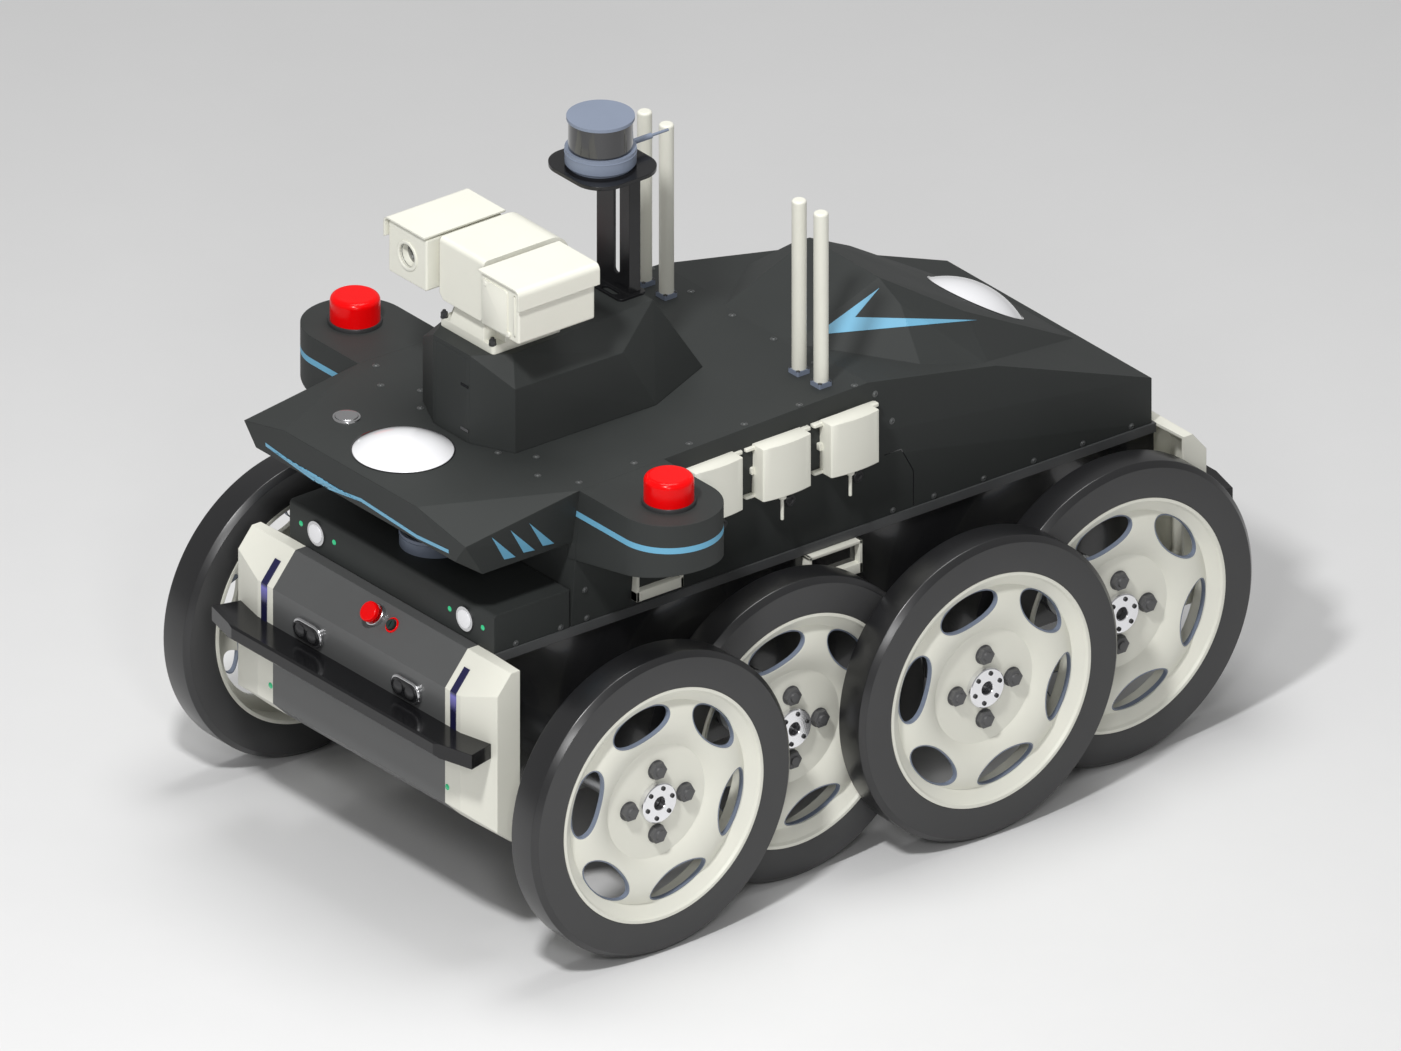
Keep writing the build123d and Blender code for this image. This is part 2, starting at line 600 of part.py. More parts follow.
def make_signal_domes():
    """White domes on the nose and on the hump's back, each a spherical cap."""
    tilt = atan2(HUMP_SLOPE, 1)
    ball_r = (DOME_R**2 + DOME_H**2) / (2 * DOME_H)
    half = atan2(DOME_R, ball_r - DOME_H) / 2
    halfway = (ball_r * sin(half), DOME_H - ball_r + ball_r * cos(half))
    front = Plane(origin=(0, FRONT_DOME_Y, DECK_Z), x_dir=(1, 0, 0), z_dir=(0, 0, 1))
    rear = Plane(
        origin=(0, REAR_DOME_Y, hump_z(REAR_DOME_Y)),
        x_dir=(1, 0, 0),
        z_dir=(0, sin(tilt), cos(tilt)),
    )
    with BuildPart() as domes:
        for seat in (front, rear):
            section = Plane(origin=seat.origin, x_dir=(1, 0, 0), z_dir=-seat.y_dir)
            with BuildSketch(section):
                with BuildLine():
                    arc = ThreePointArc((DOME_R, 0), halfway, (0, DOME_H))
                    Polyline(arc @ 1, (0, 0), (DOME_R, 0))
                make_face()
            revolve(axis=Axis(seat.origin, seat.z_dir))
    save(domes, "signal_domes")


def make_power_button():
    with BuildPart() as button:
        with BuildSketch(Plane.XY.offset(DECK_Z - SHELL_T - BUTTON_TRAVEL)):
            with Locations((BUTTON_X, BUTTON_Y)):
                Circle(BUTTON_R)
        extrude(amount=SHELL_T + 2 * BUTTON_TRAVEL + 0.5)
        fillet(button.edges().group_by(Axis.Z)[-1], 1)
    save(button, "power_button")


def pod_body(side, wall=0.0):
    """One pod, round at its outer end, with an underside that rises outwards, shrunk by a wall."""
    end_x = POD_X + POD_R
    with BuildPart() as pod:
        with BuildSketch(Plane.XY.offset(POD_BOTTOM)):
            with Locations((side * POD_X, POD_Y)):
                Circle(POD_R - wall)
            with Locations((side * (POD_X + POD_ROOT_X) / 2, POD_Y)):
                Rectangle(POD_X - POD_ROOT_X, 2 * (POD_R - wall))
        extrude(amount=DECK_Z - POD_BOTTOM - wall)
        with BuildSketch(Plane.XZ.offset(-POD_Y)):
            with BuildLine():
                Polyline(
                    (side * POD_ROOT_X, POD_BOTTOM + wall),
                    (side * end_x, POD_BOTTOM + wall + POD_RISE * (end_x - POD_ROOT_X)),
                    (side * end_x, POD_BOTTOM - 1),
                    (side * POD_ROOT_X, POD_BOTTOM - 1),
                    close=True,
                )
            make_face()
        extrude(amount=POD_R, both=True, mode=Mode.SUBTRACT)
    return pod.part


def make_beacon_pods():
    outer = [pod_body(side) for side in SIDES.values()]
    inner = [pod_body(side, SHELL_T) for side in SIDES.values()]
    with BuildPart() as pods:
        add(outer)
        add(inner, mode=Mode.SUBTRACT)
        add(shell_body(), mode=Mode.SUBTRACT)
        add(shell_nose(), mode=Mode.SUBTRACT)
    save(pods, "beacon_pods")


def make_beacons():
    with BuildPart() as beacons:
        with BuildSketch(Plane.XY.offset(DECK_Z)):
            with Locations((POD_X, POD_Y), (-POD_X, POD_Y)):
                Circle(BEACON_R)
        extrude(amount=BEACON_H)
        fillet(beacons.faces().group_by(Axis.Z)[-1].edges(), 9)
        with BuildSketch(Plane.XY.offset(DECK_Z)):
            with Locations((POD_X, POD_Y), (-POD_X, POD_Y)):
                Circle(BEACON_R - 4)
        extrude(amount=BEACON_H - 12, mode=Mode.SUBTRACT)
    save(beacons, "beacons")


def make_camera_base():
    with BuildPart() as base:
        with BuildSketch(Plane.XY.offset(TURRET_TOP)):
            with Locations((0, PAN_Y)):
                RectangleRounded(PLATE_W, PLATE_W, 6)
        extrude(amount=PLATE_T)
        with BuildSketch(Plane.XY.offset(TURRET_TOP + PLATE_T)):
            with Locations((0, PAN_Y)):
                Rectangle(PLATE_W, PLATE_W - 46)
                Rectangle(PLATE_W - 46, PLATE_W)
        extrude(amount=BLOCK_TOP - TURRET_TOP - PLATE_T, taper=14)
        with BuildSketch(Plane.XY.offset(BLOCK_TOP)):
            with Locations((0, PAN_Y)):
                Circle(SPINDLE_R)
        extrude(amount=16)
    save(base, "camera_base")


def make_pan_body():
    with BuildPart() as body:
        with BuildSketch(Plane.XY.offset(BODY_BOTTOM)):
            with Locations((0, (BODY_FRONT + BODY_BACK) / 2)):
                Rectangle(2 * BODY_X, BODY_BACK - BODY_FRONT)
        extrude(amount=BODY_TOP - BODY_BOTTOM)
        top_back = body.edges().filter_by(Axis.X).group_by(Axis.Z)[-1].sort_by(Axis.Y)[-1]
        fillet(top_back, 34)
        fillet(body.edges().filter_by(Axis.X).group_by(Axis.Z)[-1].sort_by(Axis.Y)[0], 8)
        chamfer(body.edges().filter_by(Axis.Y).group_by(Axis.Z)[0], 9)
        with BuildSketch(Plane.XY.offset(BODY_BOTTOM + 22)):
            with Locations((0, (BODY_FRONT + BODY_BACK) / 2)):
                Rectangle(2 * (BODY_X - 8), BODY_BACK - BODY_FRONT - 76)
        extrude(amount=BODY_TOP - BODY_BOTTOM - 30, mode=Mode.SUBTRACT)
        with BuildSketch(Plane.XY.offset(BODY_BOTTOM)):
            with Locations((0, PAN_Y)):
                Circle(SPINDLE_R + RUN_GAP)
        extrude(amount=18, mode=Mode.SUBTRACT)
        with BuildSketch(Plane.YZ.offset(-BODY_X)):
            with Locations((TILT_Y, TILT_Z)):
                Circle(TILT_R + RUN_GAP)
        extrude(amount=2 * BODY_X, mode=Mode.SUBTRACT)
    save(body, "pan_body")


def head_box(side, inset=0.0):
    """Sketch plane, centre and size of one camera head's front outline."""
    plane = Plane(origin=(side * HEAD_X, TILT_Y, TILT_Z), x_dir=(1, 0, 0), z_dir=(0, -1, 0))
    return plane, HEAD_W - 2 * inset, HEAD_H - 2 * inset


def make_camera_heads():
    with BuildPart() as heads:
        for side in SIDES.values():
            plane, width, height = head_box(side)
            with BuildSketch(plane.offset(-HEAD_L / 2)):
                RectangleRounded(width, height, 4)
            extrude(amount=HEAD_L)
        ends = heads.faces().filter_by(Axis.Y).group_by(Axis.Y)
        fillet(ends[0].edges() + ends[-1].edges(), 3)
        for side in SIDES.values():
            plane, width, height = head_box(side, HEAD_T)
            with BuildSketch(plane.offset(-HEAD_L / 2 + HEAD_T)):
                RectangleRounded(width, height, 3)
            extrude(amount=HEAD_L - 2 * HEAD_T, mode=Mode.SUBTRACT)
        with BuildSketch(head_box(-1)[0].offset(HEAD_L / 2)):
            Circle(LENS_R)
        extrude(amount=-HEAD_T, mode=Mode.SUBTRACT)
        with BuildSketch(head_box(1)[0].offset(HEAD_L / 2)):
            with Locations((HEAD_W / 2 - 11, 0)):
                Rectangle(4, HEAD_H - 16)
        extrude(amount=-HEAD_T, mode=Mode.SUBTRACT)
        inner = HEAD_X - HEAD_W / 2 + HEAD_T
        with BuildSketch(Plane.YZ.offset(-inner)):
            with Locations((TILT_Y, TILT_Z)):
                Circle(TILT_R)
        extrude(amount=2 * inner)
    save(heads, "camera_heads")


def make_camera_lenses():
    """Round lens barrel on the right, flat thermal window with its barrel on the left."""
    with BuildPart() as lenses:
        with BuildSketch(head_box(-1)[0].offset(HEAD_L / 2 - HEAD_T)):
            Circle(LENS_R + 6)
        extrude(amount=-58)
        with BuildSketch(head_box(-1)[0].offset(HEAD_L / 2 - HEAD_T)):
            Circle(LENS_R - 1)
        extrude(amount=-12, mode=Mode.SUBTRACT)
        with BuildSketch(head_box(1)[0].offset(HEAD_L / 2 - HEAD_T)):
            Rectangle(HEAD_W - 14, HEAD_H - 10)
        extrude(amount=-5)
        with BuildSketch(head_box(1)[0].offset(HEAD_L / 2 - HEAD_T - 5)):
            Circle(LENS_R + 6)
        extrude(amount=-50)
    save(lenses, "camera_lenses")


SHIELD_GAP, SHIELD_T, SHIELD_DROP, SHIELD_OVER = 3.0, 3.0, 31.0, 5.0


def make_sun_shields():
    inner = HEAD_X - HEAD_W / 2 - 1
    outer = HEAD_X + HEAD_W / 2 + SHIELD_GAP + SHIELD_T
    under = TILT_Z + HEAD_H / 2 + SHIELD_GAP
    with BuildPart() as shields:
        for side in SIDES.values():
            plane = Plane.XZ.offset(-TILT_Y - HEAD_L / 2 - SHIELD_OVER)
            with BuildSketch(plane):
                with BuildLine():
                    path = FilletPolyline(
                        (side * inner, under + SHIELD_T / 2),
                        (side * (outer - SHIELD_T / 2), under + SHIELD_T / 2),
                        (side * (outer - SHIELD_T / 2), under - SHIELD_DROP),
                        radius=9,
                    )
                trace(path, line_width=SHIELD_T)
            extrude(amount=HEAD_L + 2 * SHIELD_OVER)
            with BuildSketch(Plane.XY.offset(under - SHIELD_GAP)):
                with Locations((side * HEAD_X, TILT_Y - 45), (side * HEAD_X, TILT_Y + 45)):
                    Circle(6)
            extrude(amount=SHIELD_GAP)
    save(shields, "sun_shields")


def make_mast():
    with BuildPart() as mast:
        with BuildSketch(Plane.XY.offset(TURRET_TOP)):
            with Locations((0, (MAST_FRONT + MAST_BACK) / 2 - 6)):
                RectangleRounded(2 * MAST_X + 14, MAST_BACK - MAST_FRONT + 30, 8)
            with Locations((8, MAST_FRONT - 11)):
                SlotOverall(34, 12, mode=Mode.SUBTRACT)
        extrude(amount=MAST_T)
        with BuildSketch(Plane.XY.offset(TURRET_TOP)):
            with Locations((0, MAST_FRONT + MAST_T / 2)):
                Rectangle(2 * MAST_X, MAST_T)
            with Locations((MAST_X, 0), (-MAST_X, 0)):
                with Locations((0, (MAST_FRONT + MAST_BACK) / 2)):
                    Rectangle(MAST_T, MAST_BACK - MAST_FRONT)
        extrude(amount=MAST_PLATE_Z - TURRET_TOP)
        with BuildSketch(Plane.XZ.offset(-MAST_FRONT)):
            with Locations((9, 966)):
                SlotOverall(172, 14, rotation=90)
        extrude(amount=-MAST_T, mode=Mode.SUBTRACT)
        with BuildSketch(Plane.XY.offset(MAST_PLATE_Z)):
            with Locations((0, SCAN_Y + 3.6)):
                RectangleRounded(146, 138, 45)
        extrude(amount=MAST_PLATE_T)
    save(mast, "mast")


def make_scanner():
    """Scanner on the mast, and the same unit under the nose on the sensor box."""
    with BuildPart() as base:
        with BuildSketch(Plane.XY.offset(SCAN_SEAT_Z)):
            with Locations((0, SCAN_Y)):
                Circle(SEAT_R)
        extrude(amount=SCAN_BASE_Z - SCAN_SEAT_Z)
        for y, shift in SCANNERS.values():
            for radius, low, high in (
                (SCAN_BASE_R, SCAN_BASE_Z, SCAN_GLASS_Z),
                (POST_R, SCAN_GLASS_Z, SCAN_GLASS_Z + POST_L),
                (SCAN_CAP_R, SCAN_CAP_Z, SCAN_TOP),
            ):
                with BuildSketch(Plane.XY.offset(low + shift)):
                    with Locations((0, y)):
                        Circle(radius)
                extrude(amount=high - low)
        for radius, reach in ((4.5, 96), (2.25, 128)):
            with BuildSketch(Plane.XZ.offset(-SCAN_Y)):
                with Locations((0, (SCAN_BASE_Z + SCAN_GLASS_Z) / 2)):
                    Circle(radius)
            extrude(amount=-reach)
    save(base, "scanner_base")
    with BuildPart() as window:
        for y, shift in SCANNERS.values():
            with BuildSketch(Plane.XY.offset(SCAN_GLASS_Z + shift)):
                with Locations((0, y)):
                    Circle(SCAN_R)
                    Circle(SCAN_R - 3, mode=Mode.SUBTRACT)
            extrude(amount=SCAN_CAP_Z - SCAN_GLASS_Z)
    save(window, "scanner_window")


def make_scanner_rotor(name, y, shift):
    with BuildPart() as rotor:
        with BuildSketch(Plane.XY.offset(SCAN_GLASS_Z + 4 + shift)):
            with Locations((0, y)):
                Circle(ROTOR_R)
                Circle(POST_R + RUN_GAP, mode=Mode.SUBTRACT)
        extrude(amount=ROTOR_L)
        with BuildSketch(Plane.XZ.offset(ROTOR_R - y)):
            with Locations((0, SCAN_GLASS_Z + 4 + shift + ROTOR_L / 2)):
                Rectangle(26, 20)
        extrude(amount=-12, mode=Mode.SUBTRACT)
    save(rotor, name)


def make_antennas():
    spots = [(side * x, ANTENNA_Y) for side in SIDES.values() for x in ANTENNA_XS]
    with BuildPart() as feet:
        with BuildSketch(Plane.XY.offset(DECK_Z)):
            with Locations(*spots):
                RectangleRounded(FOOT_W, FOOT_W, 2)
        extrude(amount=FOOT_H)
    save(feet, "antenna_feet")
    with BuildPart() as antennas:
        with BuildSketch(Plane.XY.offset(DECK_Z + FOOT_H)):
            with Locations(*spots):
                Circle(ANTENNA_R)
        extrude(amount=ANTENNA_L)
        fillet(antennas.faces().group_by(Axis.Z)[-1].edges(), 4)
    save(antennas, "antennas")


def junction_boxes():
    for side in SIDES.values():
        for k in range(3):
            yield side, JBOX_LAST_Y - k * JBOX_PITCH


def make_junction_boxes():
    """Sensor boxes on the shell's sides, each with a gland and a short probe under it."""
    middle = JBOX_BOTTOM + JBOX_H / 2
    with BuildPart() as boxes:
        for side, y in junction_boxes():
            face = Plane(origin=(side * JBOX_FACE, y, middle), x_dir=(0, 1, 0), z_dir=(side, 0, 0))
            with BuildSketch(face):
                RectangleRounded(JBOX_W, JBOX_H, 4)
            extrude(amount=-50)
        fillet(boxes.faces().filter_by(Axis.X).group_by(Axis.X)[0].edges(), 3)
        fillet(boxes.faces().filter_by(Axis.X).group_by(Axis.X)[-1].edges(), 3)
        for side, y in junction_boxes():
            for radius, length in ((GLAND_R, GLAND_L), (PROBE_R, PROBE_L)):
                with BuildSketch(Plane.XY.offset(JBOX_BOTTOM)):
                    with Locations((side * (JBOX_FACE - PROBE_INSET), y - 4)):
                        Circle(radius)
                extrude(amount=-length)
        add(shell_body(), mode=Mode.SUBTRACT)
    save(boxes, "junction_boxes")


for wheel in wheels():
    make_tyre(*wheel)
    make_rim(*wheel)
    make_hub(*wheel)
make_lower_hull()
make_side_rails()
make_axle_housings()
make_wheel_bearings()
make_gear_motors()
make_inner_boxes()
make_end_covers()
make_corner_guards()
make_led_strips()
make_bumpers()
make_docking_contacts()
make_sensor_box()
make_emergency_stop()
make_top_shell()
make_turret_shell()
make_signal_domes()
make_power_button()
make_beacon_pods()
make_beacons()
make_camera_base()
make_pan_body()
make_camera_heads()
make_camera_lenses()
make_sun_shields()
make_mast()
make_scanner()
for label, (spot_y, rise) in SCANNERS.items():
    make_scanner_rotor(label, spot_y, rise)
make_antennas()
make_junction_boxes()
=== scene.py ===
"""Looks of the eight-wheel patrol robot: finishes for the frame's nodes and the fine pieces around them."""
import json
from math import atan2, cos, hypot, pi, radians, sin, tau
import bmesh
import bpy
from mathutils import Matrix, Vector
from mathutils.bvhtree import BVHTree


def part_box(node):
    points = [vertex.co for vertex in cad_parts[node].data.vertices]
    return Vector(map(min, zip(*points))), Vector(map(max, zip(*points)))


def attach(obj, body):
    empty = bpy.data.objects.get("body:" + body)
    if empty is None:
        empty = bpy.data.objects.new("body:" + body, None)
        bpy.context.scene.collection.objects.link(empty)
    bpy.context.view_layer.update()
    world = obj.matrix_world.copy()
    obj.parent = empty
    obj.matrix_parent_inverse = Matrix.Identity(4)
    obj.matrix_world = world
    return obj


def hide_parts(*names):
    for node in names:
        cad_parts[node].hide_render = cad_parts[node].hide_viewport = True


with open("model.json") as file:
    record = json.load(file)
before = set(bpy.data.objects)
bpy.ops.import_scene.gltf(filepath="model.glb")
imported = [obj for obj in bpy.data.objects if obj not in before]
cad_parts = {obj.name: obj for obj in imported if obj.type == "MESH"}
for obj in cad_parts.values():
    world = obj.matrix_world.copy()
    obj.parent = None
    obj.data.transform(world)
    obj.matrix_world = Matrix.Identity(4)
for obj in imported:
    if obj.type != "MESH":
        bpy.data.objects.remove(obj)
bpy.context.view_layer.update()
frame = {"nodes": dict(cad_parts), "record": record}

MM = 0.001
SIDES = (1, -1)
UP = Vector((0, 0, 1))
FRONT = Vector((0, -1, 0))

# Sizes and places in millimetres
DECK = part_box("beacons")[0][2] / MM
BOX_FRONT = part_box("sensor_box")[0][1] / MM
COVER_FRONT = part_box("end_covers")[0][1] / MM
POD_BAND = (656.8, 666.8)
LED_LOW, LED_HIGH = 380, 420
RIM_R, TYRE_R, TYRE_W, SHOULDER_R = 189, 245.5, 64, 237.2
WINDOWS, WINDOW_R, WINDOW_OUT, WINDOW_ALONG, WINDOW_START = 6, 141, 25, 55, radians(44)
LUGS, LUG_CIRCLE_R, HUB_SCREWS, HUB_SCREW_CIRCLE_R = 4, 53, 6, 24
SHAFT_R, SHAFT_ROOT_X = 15, 205
FLANK_X, RAIL_SCREW_Z = 260, 473.5
SLANT_RUN, SLANT_RISE, SLANT_CREASE_Z = 42.8, 52.0, 414.6
SONAR_X, SONAR_Z, SONAR_LAMP_SHIFT = 180, 500, 40
CONTACT_X, CONTACT_LENS_SHIFT = 118.7, 14
FLANK_BOXES, FLANK_BOX_W, FLANK_BOX_H, FLANK_BOX_PITCH, FLANK_BOX_BACK = 3, 91, 87, 129, 259
PORTS = ((-367, -278, 478, 556), (-40, 61, 397, 451))
PORT_OUTER, PORT_INNER, PORT_WALL = 262, 245, 5.5
NOSE_DOME_Y, HUMP_DOME_Y, HUMP_TOP_Y, HUMP_TOP_Z, HUMP_SLOPE = -605, 479.6, 231.0, 766.0, 0.585
ANTENNA_XS, ANTENNA_Y, ANTENNA_SCREW_SHIFT = (160.7, 213.7), 20, 9
HEAD_X, TILT_Y, PAN_Y, PAN_SEAL_Z = 112, -437, -420, 900.05
MAST_SCANNER_Y, NOSE_SCANNER_Y, NOSE_SCANNER_DROP = -230.6, -544.0, 541


# ---------------------------------------------------------------- materials

def nodes_of(material):
    material.use_nodes = True
    tree = material.node_tree
    return tree, tree.nodes["Principled BSDF"]


def texture(tree, kind, **values):
    """A texture node in the piece's own coordinates, with its sockets set."""
    coords = tree.nodes.new("ShaderNodeTexCoord")
    node = tree.nodes.new(kind)
    for key, value in values.items():
        node.inputs[key].default_value = value
    tree.links.new(coords.outputs["Object"], node.inputs["Vector"])
    return node


def ramp_between(tree, source, low, high, start=0.3, end=0.7):
    ramp = tree.nodes.new("ShaderNodeValToRGB")
    ramp.color_ramp.elements[0].position = start
    ramp.color_ramp.elements[0].color = low
    ramp.color_ramp.elements[1].position = end
    ramp.color_ramp.elements[1].color = high
    tree.links.new(source, ramp.inputs["Fac"])
    return ramp


def spread(tree, source, low, high):
    node = tree.nodes.new("ShaderNodeMapRange")
    node.inputs["To Min"].default_value = low
    node.inputs["To Max"].default_value = high
    tree.links.new(source, node.inputs["Value"])
    return node


def tone(colour, factor):
    return tuple(min(1.0, c * factor) for c in colour) + (1.0,)


def height_of(tree):
    """Output that gives the height in the piece's own coordinates."""
    coords = tree.nodes.new("ShaderNodeTexCoord")
    split = tree.nodes.new("ShaderNodeSeparateXYZ")
    tree.links.new(coords.outputs["Object"], split.inputs["Vector"])
    return split.outputs["Z"]


def finish(name, colour, rough, metal=0.0, coat=0.0, grain=1400.0, depth=0.05, mottle=0.08,
           spec=0.5, edge=0.0):
    """Moulded or coated surface: grain in the bump, slow changes of tone and gloss."""
    material = bpy.data.materials.new(name)
    tree, shader = nodes_of(material)
    slow = texture(tree, "ShaderNodeTexNoise", Scale=7.0, Detail=5.0, Roughness=0.6)
    fine = texture(tree, "ShaderNodeTexNoise", Scale=grain, Detail=2.0)
    ramp = ramp_between(tree, slow.outputs["Fac"], tone(colour, 1 - mottle), tone(colour, 1 + mottle))
    tree.links.new(ramp.outputs["Color"], shader.inputs["Base Color"])
    gloss = spread(tree, slow.outputs["Fac"], rough * 0.85, min(1.0, rough * 1.15))
    tree.links.new(gloss.outputs["Result"], shader.inputs["Roughness"])
    bump = tree.nodes.new("ShaderNodeBump")
    bump.inputs["Strength"].default_value = 0.5
    bump.inputs["Distance"].default_value = depth * MM
    if edge:
        soft = tree.nodes.new("ShaderNodeBevel")
        soft.samples = 6
        soft.inputs["Radius"].default_value = edge * MM
        tree.links.new(soft.outputs["Normal"], bump.inputs["Normal"])
    tree.links.new(fine.outputs["Fac"], bump.inputs["Height"])
    tree.links.new(bump.outputs["Normal"], shader.inputs["Normal"])
    shader.inputs["Metallic"].default_value = metal
    shader.inputs["Coat Weight"].default_value = coat
    shader.inputs["Coat Roughness"].default_value = 0.08
    shader.inputs["Specular IOR Level"].default_value = spec
    return material


def turned(name, colour, rough, axis, pitch=0.6):
    """Lathe-turned metal: fine rings about the piece's own axis."""
    material = finish(name, colour, rough, metal=1.0, depth=0.02, mottle=0.04)
    tree, shader = nodes_of(material)
    wave = texture(tree, "ShaderNodeTexWave", Scale=1 / (pitch * MM * 20), Distortion=0.3)
    wave.wave_type = "RINGS"
    wave.rings_direction = axis
    bump = tree.nodes.new("ShaderNodeBump")
    bump.inputs["Strength"].default_value = 0.25
    bump.inputs["Distance"].default_value = 0.05 * MM
    tree.links.new(wave.outputs["Fac"], bump.inputs["Height"])
    tree.links.new(bump.outputs["Normal"], shader.inputs["Normal"])
    return material


def red_with_painted_glow(name):
    """Deep red plastic with a faint painted glow: emission that brightens the red, also on the e-stop cap and
    the key ring, which are no lamps.
    """
    material = finish(name, (0.72, 0.001, 0.002), 0.2, depth=0.02, mottle=0.04, spec=0.2)
    _, shader = nodes_of(material)
    # Painted glow: emission that makes the red look brighter, not a lit lamp.
    shader.inputs["Emission Color"].default_value = (0.9, 0.0, 0.0, 1.0)
    shader.inputs["Emission Strength"].default_value = 0.12
    return material


def led_finish(name):
    """Navy light strip, lit violet just below its bend."""
    material = finish(name, (0.006, 0.006, 0.04), 0.2, coat=0.2, depth=0.01)
    tree, shader = nodes_of(material)
    height = spread(tree, height_of(tree), 0.0, 1.0)
    height.inputs["From Min"].default_value = LED_LOW * MM
    height.inputs["From Max"].default_value = LED_HIGH * MM
    unlit, lit = (0.004, 0.004, 0.03, 1), (0.10, 0.09, 0.36, 1)
    ramp = ramp_between(tree, height.outputs["Result"], unlit, lit, 0.1, 0.72)
    bend = ramp.color_ramp.elements.new(0.86)
    bend.color = (0.006, 0.006, 0.045, 1)
    tree.links.new(ramp.outputs["Color"], shader.inputs["Base Color"])
    tree.links.new(ramp.outputs["Color"], shader.inputs["Emission Color"])
    shader.inputs["Emission Strength"].default_value = 0.35
    return material


def banded(name, colour, band, low, high, **values):
    """Shell plastic with a band of another colour between two heights."""
    material = finish(name, colour, **values)
    tree, shader = nodes_of(material)
    middle = tree.nodes.new("ShaderNodeMath")
    middle.operation = "COMPARE"
    middle.inputs[1].default_value = (low + high) / 2 * MM
    middle.inputs[2].default_value = (high - low) / 2 * MM
    tree.links.new(height_of(tree), middle.inputs[0])
    mix = tree.nodes.new("ShaderNodeMix")
    mix.data_type = "RGBA"
    mix.inputs["B"].default_value = band + (1.0,)
    tree.links.new(middle.outputs["Value"], mix.inputs["Factor"])
    base = shader.inputs["Base Color"]
    tree.links.new(base.links[0].from_socket, mix.inputs["A"])
    tree.links.new(mix.outputs["Result"], base)
    return material


def glow(name, colour, strength):
    material = finish(name, colour, 0.25, coat=0.6, depth=0.01)
    _, shader = nodes_of(material)
    shader.inputs["Emission Color"].default_value = tone(colour, 1)
    shader.inputs["Emission Strength"].default_value = strength
    return material


CREAM = (0.77, 0.765, 0.68)
BLUE = (0.15, 0.40, 0.58)
SHELL = (0.033, 0.036, 0.035)
M = {
    "rubber": finish("rubber_wall", (0.052, 0.052, 0.053), 0.5, grain=500.0, depth=0.08, mottle=0.06,
                     spec=0.4),
    "tread": finish("rubber_tread", (0.008, 0.008, 0.009), 0.3, grain=500.0, depth=0.03, mottle=0.1,
                    spec=0.8),
    "cream": finish("cream_coat", CREAM, 0.42, grain=900.0, depth=0.05, mottle=0.02, edge=1.6),
    "chrome": turned("turned_chrome", (0.86, 0.86, 0.88), 0.16, "X"),
    "black": finish("black_gloss", (0.009, 0.009, 0.01), 0.2, coat=0.1, grain=500.0, depth=0.02,
                    spec=0.35, edge=1.5),
    "hull": finish("hull_paint", (0.011, 0.011, 0.012), 0.22, coat=0.5, grain=260.0, depth=0.12, mottle=0.2),
    "rail": finish("rail_paint", (0.07, 0.072, 0.074), 0.3, depth=0.03, edge=1.2),
    "alloy": finish("machined_alloy", (0.46, 0.47, 0.48), 0.32, metal=1.0, grain=700.0, depth=0.03),
    "steel": finish("bright_steel", (0.62, 0.62, 0.63), 0.2, metal=1.0, depth=0.02, mottle=0.05),
    "battery": finish("battery_wrap", (0.06, 0.11, 0.26), 0.35, depth=0.03),
    "cover": finish("cover_paint", (0.092, 0.094, 0.094), 0.32, coat=0.1, depth=0.03, mottle=0.04,
                    edge=1.6),
    "shell": finish("shell_plastic", SHELL, 0.6, grain=1800.0, depth=0.05, mottle=0.05, spec=0.25,
                    edge=2.0),
    "white": finish("dome_plastic", (0.86, 0.86, 0.88), 0.12, coat=0.6, depth=0.01, mottle=0.02),
    "red": red_with_painted_glow("red_painted_glow"),
    "led": led_finish("led_strip"),
    "pod": banded("pod_plastic", SHELL, BLUE, *POD_BAND, rough=0.6, grain=1800.0, spec=0.25, edge=2.0),
    "blue": finish("blue_inlay", BLUE, 0.42, depth=0.02, mottle=0.03),
    "slate": finish("slate_anodised", (0.2, 0.235, 0.31), 0.5, depth=0.03, mottle=0.04),
    "window": finish("smoked_window", (0.013, 0.013, 0.015), 0.1, coat=1.0, depth=0.01),
    "bolt": finish("black_bolt", (0.045, 0.045, 0.047), 0.35, metal=0.3, depth=0.03),
    "lug": finish("oxide_bolt", (0.085, 0.085, 0.087), 0.42, depth=0.03, edge=0.8),
    "screw": finish("dull_screw", (0.13, 0.135, 0.135), 0.34, metal=0.5, depth=0.02),
    "key": finish("lock_barrel", (0.02, 0.05, 0.045), 0.3, metal=0.4, depth=0.02),
    "green": glow("green_lamp", (0.02, 0.42, 0.18), 0.3),
}
SLOT_FINISH = {
    "tyre": "rubber", "rim": "cream", "hub": "chrome", "hull": "hull", "rail": "rail", "housing": "alloy",
    "bearing": "steel", "motor": "black", "battery": "battery", "controller": "alloy", "cover": "cover",
    "guard": "cream", "led": "led", "bumper": "black", "contact": "steel", "sonar": "steel", "steel": "steel",
    "red_cap": "red", "shell": "shell", "dome": "white", "beacon": "red", "camera": "cream", "lens": "alloy",
    "mast": "black", "scanner": "slate", "scanner_glass": "window", "antenna": "cream", "foot": "slate",
    "jbox": "cream",
}


def paint_nodes():
    """Give each CAD node the finish of its material slot."""
    for part in frame["record"]["subparts"]:
        material = M[SLOT_FINISH[part["material_slot"]]]
        for slot in frame["nodes"][part["node"]].material_slots:
            slot.material = material
    for node, finish_name in (("beacon_pods", "pod"), ("key_switch", "key")):
        frame["nodes"][node].material_slots[0].material = M[finish_name]


# ---------------------------------------------------------------- piece helpers

def side_name(side):
    return "left" if side > 0 else "right"


def span(node):
    """Lowest and highest corner of a node's box, in millimetres."""
    low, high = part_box(node)
    return Vector(low) / MM, Vector(high) / MM


